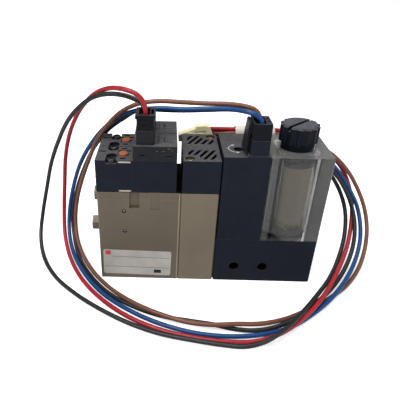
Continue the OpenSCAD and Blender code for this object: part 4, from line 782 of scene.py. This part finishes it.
def make_screw_crosses():
    """The cross recess in the head of each valve screw, painted black as its shade."""
    bm = bmesh.new()
    screw_x, screw_z = 5.1, HEAD_TOP - 0.08
    size = Matrix.Diagonal((1.9 * MM, 0.46 * MM, 0.1 * MM, 1.0))
    for y in (1.9, 11.5, 21.1):
        for turn in (45, 135):
            made = bmesh.ops.create_cube(bm, size=1.0)
            turned = Matrix.Rotation(math.radians(turn), 4, "Z")
            place = Matrix.Translation(at(screw_x, y, screw_z)) @ turned @ size
            bmesh.ops.transform(bm, matrix=place, verts=made["verts"])
    finished(piece_from("screw_crosses", bm), "steel", finish="black_shade")


def make_metal_marks():
    """Painted highlight on the chamfer where the two metal bodies meet, two scuffs, and painted shadow rims
    round the balls.
    """
    mark_out, scuff_out = -0.008, -0.006
    bm = bmesh.new()
    # painted highlight along the chamfer where the metal bodies meet
    left, right, low, high = 27.42, 27.88, 0.4, 35.8
    outline_into(bm, [(left, low), (right, low), (right, high), (left, high)], mark_out, SUNK)
    finished(piece_from("chamfer_highlight", bm), "metal", finish="metal_chamfer_highlight")
    bm = bmesh.new()
    for (x0, z0), (x1, z1) in (((3.6, 16.4), (8.2, 19.2)), ((22.6, 24.1), (26.4, 26.5))):
        corners = [(x0, z0), (x1, z1 - 0.07), (x1, z1 + 0.07), (x0, z0 + 0.03)]
        outline_into(bm, corners, scuff_out, SUNK)
    finished(piece_from("metal_scuffs", bm), "metal", finish="metal_scuff")
    bm = bmesh.new()
    rim_inside, rim_outside = 0.46, 0.72
    # painted shadow: a dark ring round each pressed ball, in the dark print finish
    for ball in ((9.0, 28.8), (9.1, 20.7)):
        for corners in band(ball, rim_inside, rim_outside, 0, 360):
            outline_into(bm, corners, mark_out, SUNK)
    finished(piece_from("ball_rims", bm), "metal", finish="dark_print")


# --------------------------------------------------------- camera and studio
LENS, SENSOR = 40.953, 36.0
SHIFT_X, SHIFT_Y = 0.12493, 0.0147
CAMERA_AT = (-0.0137288, -0.1429209, 0.1094091)
CAMERA_TURN = (59.225, -0.1541, 2.0725)  # degrees
FLOOR_HALF = 3.0  # metres
AIM = (0.0, 0.0, 0.025)  # what the lights point at

LIGHTS = (
    # name, place in metres, size in metres, power in watts
    ("key", (-0.25, -0.25, 0.55), 0.35, 3.2),
    ("fill", (0.45, -0.4, 0.3), 0.4, 1.1),
    ("top", (0.05, 0.15, 0.6), 0.4, 1.6),
)


def make_camera():
    data = bpy.data.cameras.new("camera")
    data.lens = LENS
    data.sensor_width = SENSOR
    data.shift_x = SHIFT_X
    data.shift_y = SHIFT_Y
    data.clip_start = 0.005
    data.clip_end = 20.0
    camera = bpy.data.objects.new("camera", data)
    camera.location = CAMERA_AT
    camera.rotation_euler = tuple(math.radians(a) for a in CAMERA_TURN)
    bpy.context.scene.collection.objects.link(camera)
    bpy.context.scene.camera = camera


def make_floor():
    """A white floor that keeps the part's soft shadow, with a glow that only the camera sees."""
    bm = bmesh.new()
    corners = [(-1, -1), (1, -1), (1, 1), (-1, 1)]
    bm.faces.new([bm.verts.new((x * FLOOR_HALF, y * FLOOR_HALF, 0.0)) for x, y in corners])
    floor = piece_from("floor", bm)
    material = bpy.data.materials.new("white floor")
    material.use_nodes = True
    tree = material.node_tree
    shader = tree.nodes["Principled BSDF"]
    shader.inputs["Base Color"].default_value = (0.8, 0.8, 0.8, 1.0)
    shader.inputs["Roughness"].default_value = 0.9
    shader.inputs["Specular IOR Level"].default_value = 0.1
    path = tree.nodes.new("ShaderNodeLightPath")
    glow = tree.nodes.new("ShaderNodeMath")
    glow.operation = "MULTIPLY"
    glow.inputs[1].default_value = 0.57
    tree.links.new(path.outputs["Is Camera Ray"], glow.inputs[0])
    shader.inputs["Emission Color"].default_value = (1.0, 1.0, 1.0, 1.0)
    tree.links.new(glow.outputs["Value"], shader.inputs["Emission Strength"])
    floor.data.materials.append(material)


def make_world():
    """White as seen directly or through the clear case, and a soft light on everything else."""
    world = bpy.data.worlds.new("studio")
    world.use_nodes = True
    tree = world.node_tree
    background = tree.nodes["Background"]
    path = tree.nodes.new("ShaderNodeLightPath")
    seen = tree.nodes.new("ShaderNodeMath")
    seen.operation = "MAXIMUM"
    tree.links.new(path.outputs["Is Camera Ray"], seen.inputs[0])
    tree.links.new(path.outputs["Is Transmission Ray"], seen.inputs[1])
    strength = tree.nodes.new("ShaderNodeMapRange")
    strength.inputs["To Min"].default_value = 0.42
    strength.inputs["To Max"].default_value = 1.0
    tree.links.new(seen.outputs["Value"], strength.inputs["Value"])
    tree.links.new(strength.outputs["Result"], background.inputs["Strength"])
    background.inputs["Color"].default_value = (1.0, 1.0, 1.0, 1.0)
    bpy.context.scene.world = world


def make_light(name, place, size, power):
    data = bpy.data.lights.new(name, "AREA")
    data.size = size
    data.energy = power
    light = bpy.data.objects.new(name, data)
    light.location = place
    direction = Vector(AIM) - Vector(place)
    light.rotation_euler = direction.to_track_quat("-Z", "Y").to_euler()
    bpy.context.scene.collection.objects.link(light)


def make_studio():
    make_camera()
    make_floor()
    make_world()
    for light in LIGHTS:
        make_light(*light)
    bpy.context.scene.view_settings.view_transform = "Standard"


make_studio()
dress_plain_nodes()
shells = make_shells()
make_springs()
make_filter_case()
make_nameplate_print()
make_trimmer_marks()
make_cover_marks()
make_dark_recesses()
make_screw_crosses()
make_metal_marks()
make_leads()
